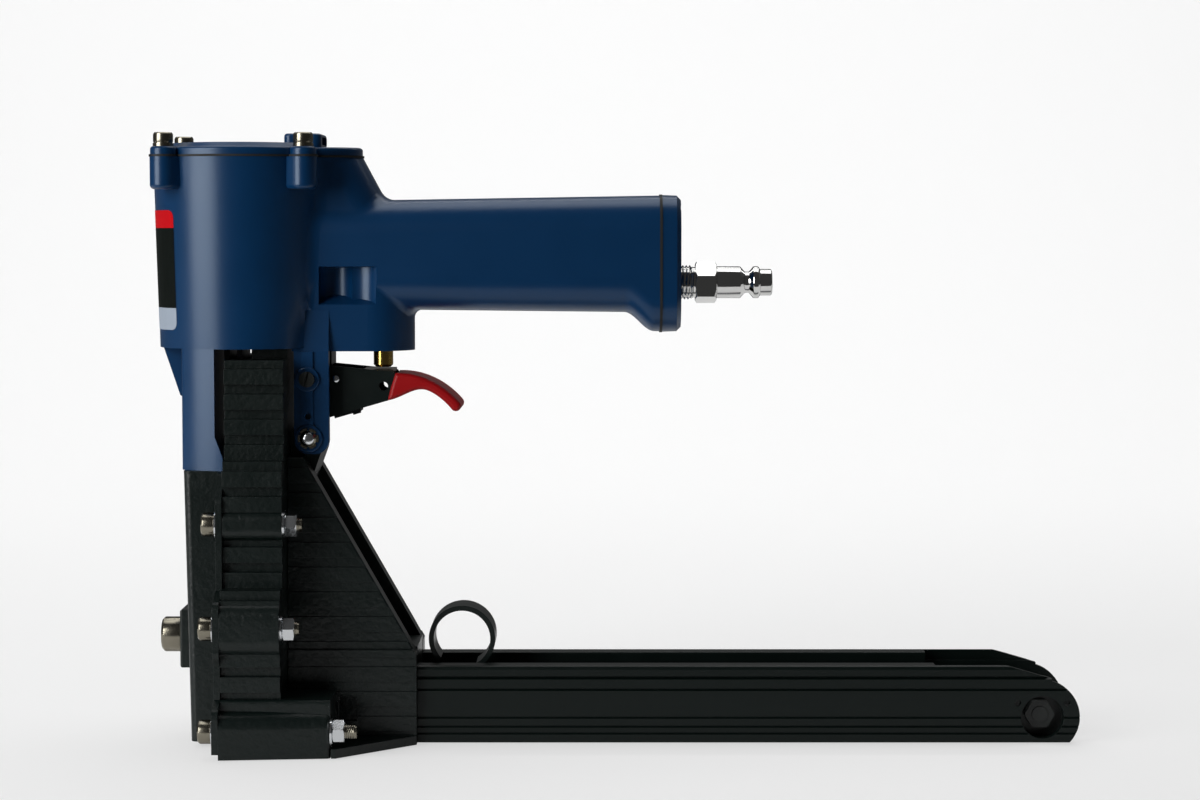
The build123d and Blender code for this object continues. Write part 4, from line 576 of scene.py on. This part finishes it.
# Plain banded label round the front of the barrel, laid on the casting by casting rays at it
INK_GRAIN = (900.0, 0.006 * MM)
INK_MOTTLE = (0.42, 0.58, 120.0)
LABEL_INKS = {
    "red_vinyl": finish("label_red", (0.50, 0.002, 0.006), INK_GRAIN, INK_MOTTLE, specular=0.1),
    "black_nylon": finish("label_black", (0.002, 0.004, 0.003), INK_GRAIN, INK_MOTTLE, specular=0.1),
    "cast_aluminium": finish("label_silver", (0.32, 0.37, 0.44), INK_GRAIN, INK_MOTTLE, specular=0.1),
}
LABEL_BANDS = (  # name, foot, top, slot
    ("label_top", 192.7 * MM, 199.3 * MM, "red_vinyl"),
    ("label_middle", 163.0 * MM, 192.7 * MM, "black_nylon"),
    ("label_foot", 154.8 * MM, 163.0 * MM, "cast_aluminium"),
)
LABEL_LOW = LABEL_BANDS[-1][1]
LABEL_HIGH = LABEL_BANDS[0][2]
LABEL_HALF_TURN = math.radians(46.0)
LABEL_CORNER = 3.0 * MM
LABEL_T = 0.12 * MM
LABEL_ROWS = 14
LABEL_COLUMNS = 40
RAY_START_R = 60.0 * MM


def label_band(name, low_z, high_z, slot, barrel):
    """One colour of the label, with the label's round corners where the band is at its end."""
    radius = -cad_box[0].x
    verts = []
    for i in range(LABEL_ROWS + 1):
        z = low_z + (high_z - low_z) * i / LABEL_ROWS
        into = max(0.0, LABEL_CORNER - min(z - LABEL_LOW, LABEL_HIGH - z))
        trim = LABEL_CORNER - math.sqrt(LABEL_CORNER ** 2 - into ** 2)
        half = LABEL_HALF_TURN - trim / radius
        for k in range(LABEL_COLUMNS + 1):
            turn = half * (2.0 * k / LABEL_COLUMNS - 1.0)
            out = Vector((-math.cos(turn), math.sin(turn), 0.0))
            hit, normal, _, _ = barrel.ray_cast(out * RAY_START_R + AXIS_Z * z, -out)
            verts.append(hit + normal * LABEL_T)
    width = LABEL_COLUMNS + 1
    faces = [(i * width + k, i * width + k + 1, (i + 1) * width + k + 1, (i + 1) * width + k)
             for i in range(LABEL_ROWS) for k in range(LABEL_COLUMNS)]
    band = add_piece(name, verts, faces, slot)
    band.data.materials[0] = LABEL_INKS[slot]


body_mesh = nodes["body_casting"].data
barrel_tree = BVHTree.FromPolygons([v.co for v in body_mesh.vertices],
                                   [f.vertices for f in body_mesh.polygons])
for band in LABEL_BANDS:
    label_band(*band, barrel_tree)

# Studio: white sweep, a room that is dark behind the camera, soft lamps, and the camera of the photograph
PAPER_WHITE = (0.86, 0.86, 0.86)
GLOW_WHITE = (0.95, 0.95, 0.95, 1.0)
GLOW_SEEN = 0.6
GLOW_MIRRORED = 0.3
ROOM_FRONT = 0.04
ROOM_BACK = 0.12
ROOM_RISE = (-0.1, 0.9)
LAMPS = (  # name, place, aim, size, power in watts
    ("key_lamp", (-0.92, -0.86, 0.48), (0.02, 0.0, 0.16), (0.85, 1.0), 17.0),
    ("top_lamp", (0.15, 0.25, 1.3), (0.15, 0.0, 0.1), (1.4, 0.7), 6.0),
    ("back_lamp", (0.2, 0.9, 1.2), (0.2, 1.5, 0.3), (2.4, 0.5), 16.0),
)
CAMERA_LENS = 82.9
CAMERA_SENSOR = 36.0
CAMERA_PLACE = (135.2 * MM, -1048.0 * MM, 192.3 * MM)
CAMERA_DOWN = 3.54


def area_lamp(name, place, aim, size, power):
    """A soft rectangular lamp that faces its aim."""
    data = bpy.data.lights.new(name, "AREA")
    data.shape = "RECTANGLE"
    data.size, data.size_y = size
    data.energy = power
    lamp = bpy.data.objects.new(name, data)
    lamp.location = place
    lamp.rotation_euler = (Vector(aim) - Vector(place)).to_track_quat("-Z", "Y").to_euler()
    bpy.context.collection.objects.link(lamp)


def seen_share(tree):
    """One share for rays from the camera, another for reflected and refracted ones, none for the rest."""
    path = tree.nodes.new("ShaderNodeLightPath")
    shares = (("Is Camera Ray", GLOW_SEEN), ("Is Glossy Ray", GLOW_MIRRORED),
              ("Is Transmission Ray", GLOW_MIRRORED))
    total = None
    for kind, share in shares:
        step = tree.nodes.new("ShaderNodeMath")
        step.operation = "MULTIPLY_ADD"
        step.inputs[1].default_value = share
        step.inputs[2].default_value = 0.0
        tree.links.new(path.outputs[kind], step.inputs[0])
        if total is not None:
            tree.links.new(total, step.inputs[2])
        total = step.outputs["Value"]
    return total


def white_paper():
    """Matt white that is lifted towards even white where it is seen, and keeps the shadow."""
    mat = shader("white_paper", PAPER_WHITE, roughness=0.9, specular=0.1)
    tree = mat.node_tree
    glow = tree.nodes.new("ShaderNodeEmission")
    glow.inputs["Color"].default_value = GLOW_WHITE
    mix = tree.nodes.new("ShaderNodeMixShader")
    tree.links.new(seen_share(tree), mix.inputs["Fac"])
    tree.links.new(tree.nodes["Principled BSDF"].outputs["BSDF"], mix.inputs[1])
    tree.links.new(glow.outputs["Emission"], mix.inputs[2])
    tree.links.new(mix.outputs["Shader"], tree.nodes["Material Output"].inputs["Surface"])
    return mat


SWEEP_HALF_W = 1.1
FLOOR_NEAR = -0.26
FLOOR_FAR = 0.35
WALL_Y = 1.6
WALL_TOP = 2.4
BEND_R = 0.5
BEND_STEPS = 12
APRON_REACH = 1.6
FLOOR_DROP = 0.4 * MM


def paper_sheet(name, line, paper):
    """A sheet of background paper drawn along X from a line of (y, z) points."""
    verts = [(x, y, z - FLOOR_DROP) for y, z in line for x in (-SWEEP_HALF_W, SWEEP_HALF_W)]
    faces = [(2 * i, 2 * i + 1, 2 * i + 3, 2 * i + 2) for i in range(len(line) - 1)]
    mesh = bpy.data.meshes.new(name)
    mesh.from_pydata(verts, [], faces)
    mesh.shade_smooth()
    mesh.materials.append(paper)
    sheet = bpy.data.objects.new(name, mesh)
    bpy.context.collection.objects.link(sheet)
    return sheet


def white_sweep():
    """A floor, a background that curves up behind it, and an apron before it that lights nothing."""
    paper = white_paper()
    bend_y = WALL_Y - BEND_R
    line = [(FLOOR_FAR, 0.0), (bend_y, 0.0)]
    for k in range(1, BEND_STEPS + 1):
        angle = math.pi / 2 * k / BEND_STEPS
        line.append((bend_y + BEND_R * math.sin(angle), BEND_R - BEND_R * math.cos(angle)))
    line.append((WALL_Y, WALL_TOP))
    paper_sheet("floor", [(FLOOR_NEAR, 0.0), (FLOOR_FAR, 0.0)], paper)
    wall = paper_sheet("wall", line, paper)
    wall.visible_glossy = False
    apron = paper_sheet("apron", [(FLOOR_NEAR - APRON_REACH, 0.0), (FLOOR_NEAR, 0.0)], paper)
    apron.visible_diffuse = False
    apron.visible_glossy = False


def studio_world():
    """White where it is seen straight on, and a room that is dark on the camera's side as light."""
    world = bpy.data.worlds.new("studio")
    bpy.context.scene.world = world
    world.use_nodes = True
    tree = world.node_tree
    coords = tree.nodes.new("ShaderNodeTexCoord")
    split = tree.nodes.new("ShaderNodeSeparateXYZ")
    room = tree.nodes.new("ShaderNodeMapRange")
    room.inputs["From Min"].default_value = ROOM_RISE[0]
    room.inputs["From Max"].default_value = ROOM_RISE[1]
    room.inputs["To Min"].default_value = ROOM_FRONT
    room.inputs["To Max"].default_value = ROOM_BACK
    path = tree.nodes.new("ShaderNodeLightPath")
    strength = tree.nodes.new("ShaderNodeMath")
    strength.operation = "MAXIMUM"
    tree.links.new(coords.outputs["Generated"], split.inputs["Vector"])
    tree.links.new(split.outputs["Y"], room.inputs["Value"])
    tree.links.new(room.outputs["Result"], strength.inputs[0])
    tree.links.new(path.outputs["Is Camera Ray"], strength.inputs[1])
    tree.links.new(strength.outputs["Value"], tree.nodes["Background"].inputs["Strength"])
    tree.nodes["Background"].inputs["Color"].default_value = (1.0, 1.0, 1.0, 1.0)


studio_world()
white_sweep()
for lamp in LAMPS:
    area_lamp(*lamp)

camera_data = bpy.data.cameras.new("photo_camera")
camera_data.lens = CAMERA_LENS
camera_data.sensor_width = CAMERA_SENSOR
camera_data.sensor_fit = "HORIZONTAL"
camera = bpy.data.objects.new("photo_camera", camera_data)
camera.location = CAMERA_PLACE
camera.rotation_euler = (math.radians(90.0 - CAMERA_DOWN), 0.0, 0.0)
bpy.context.collection.objects.link(camera)
bpy.context.scene.camera = camera
bpy.context.scene.view_settings.view_transform = "Standard"
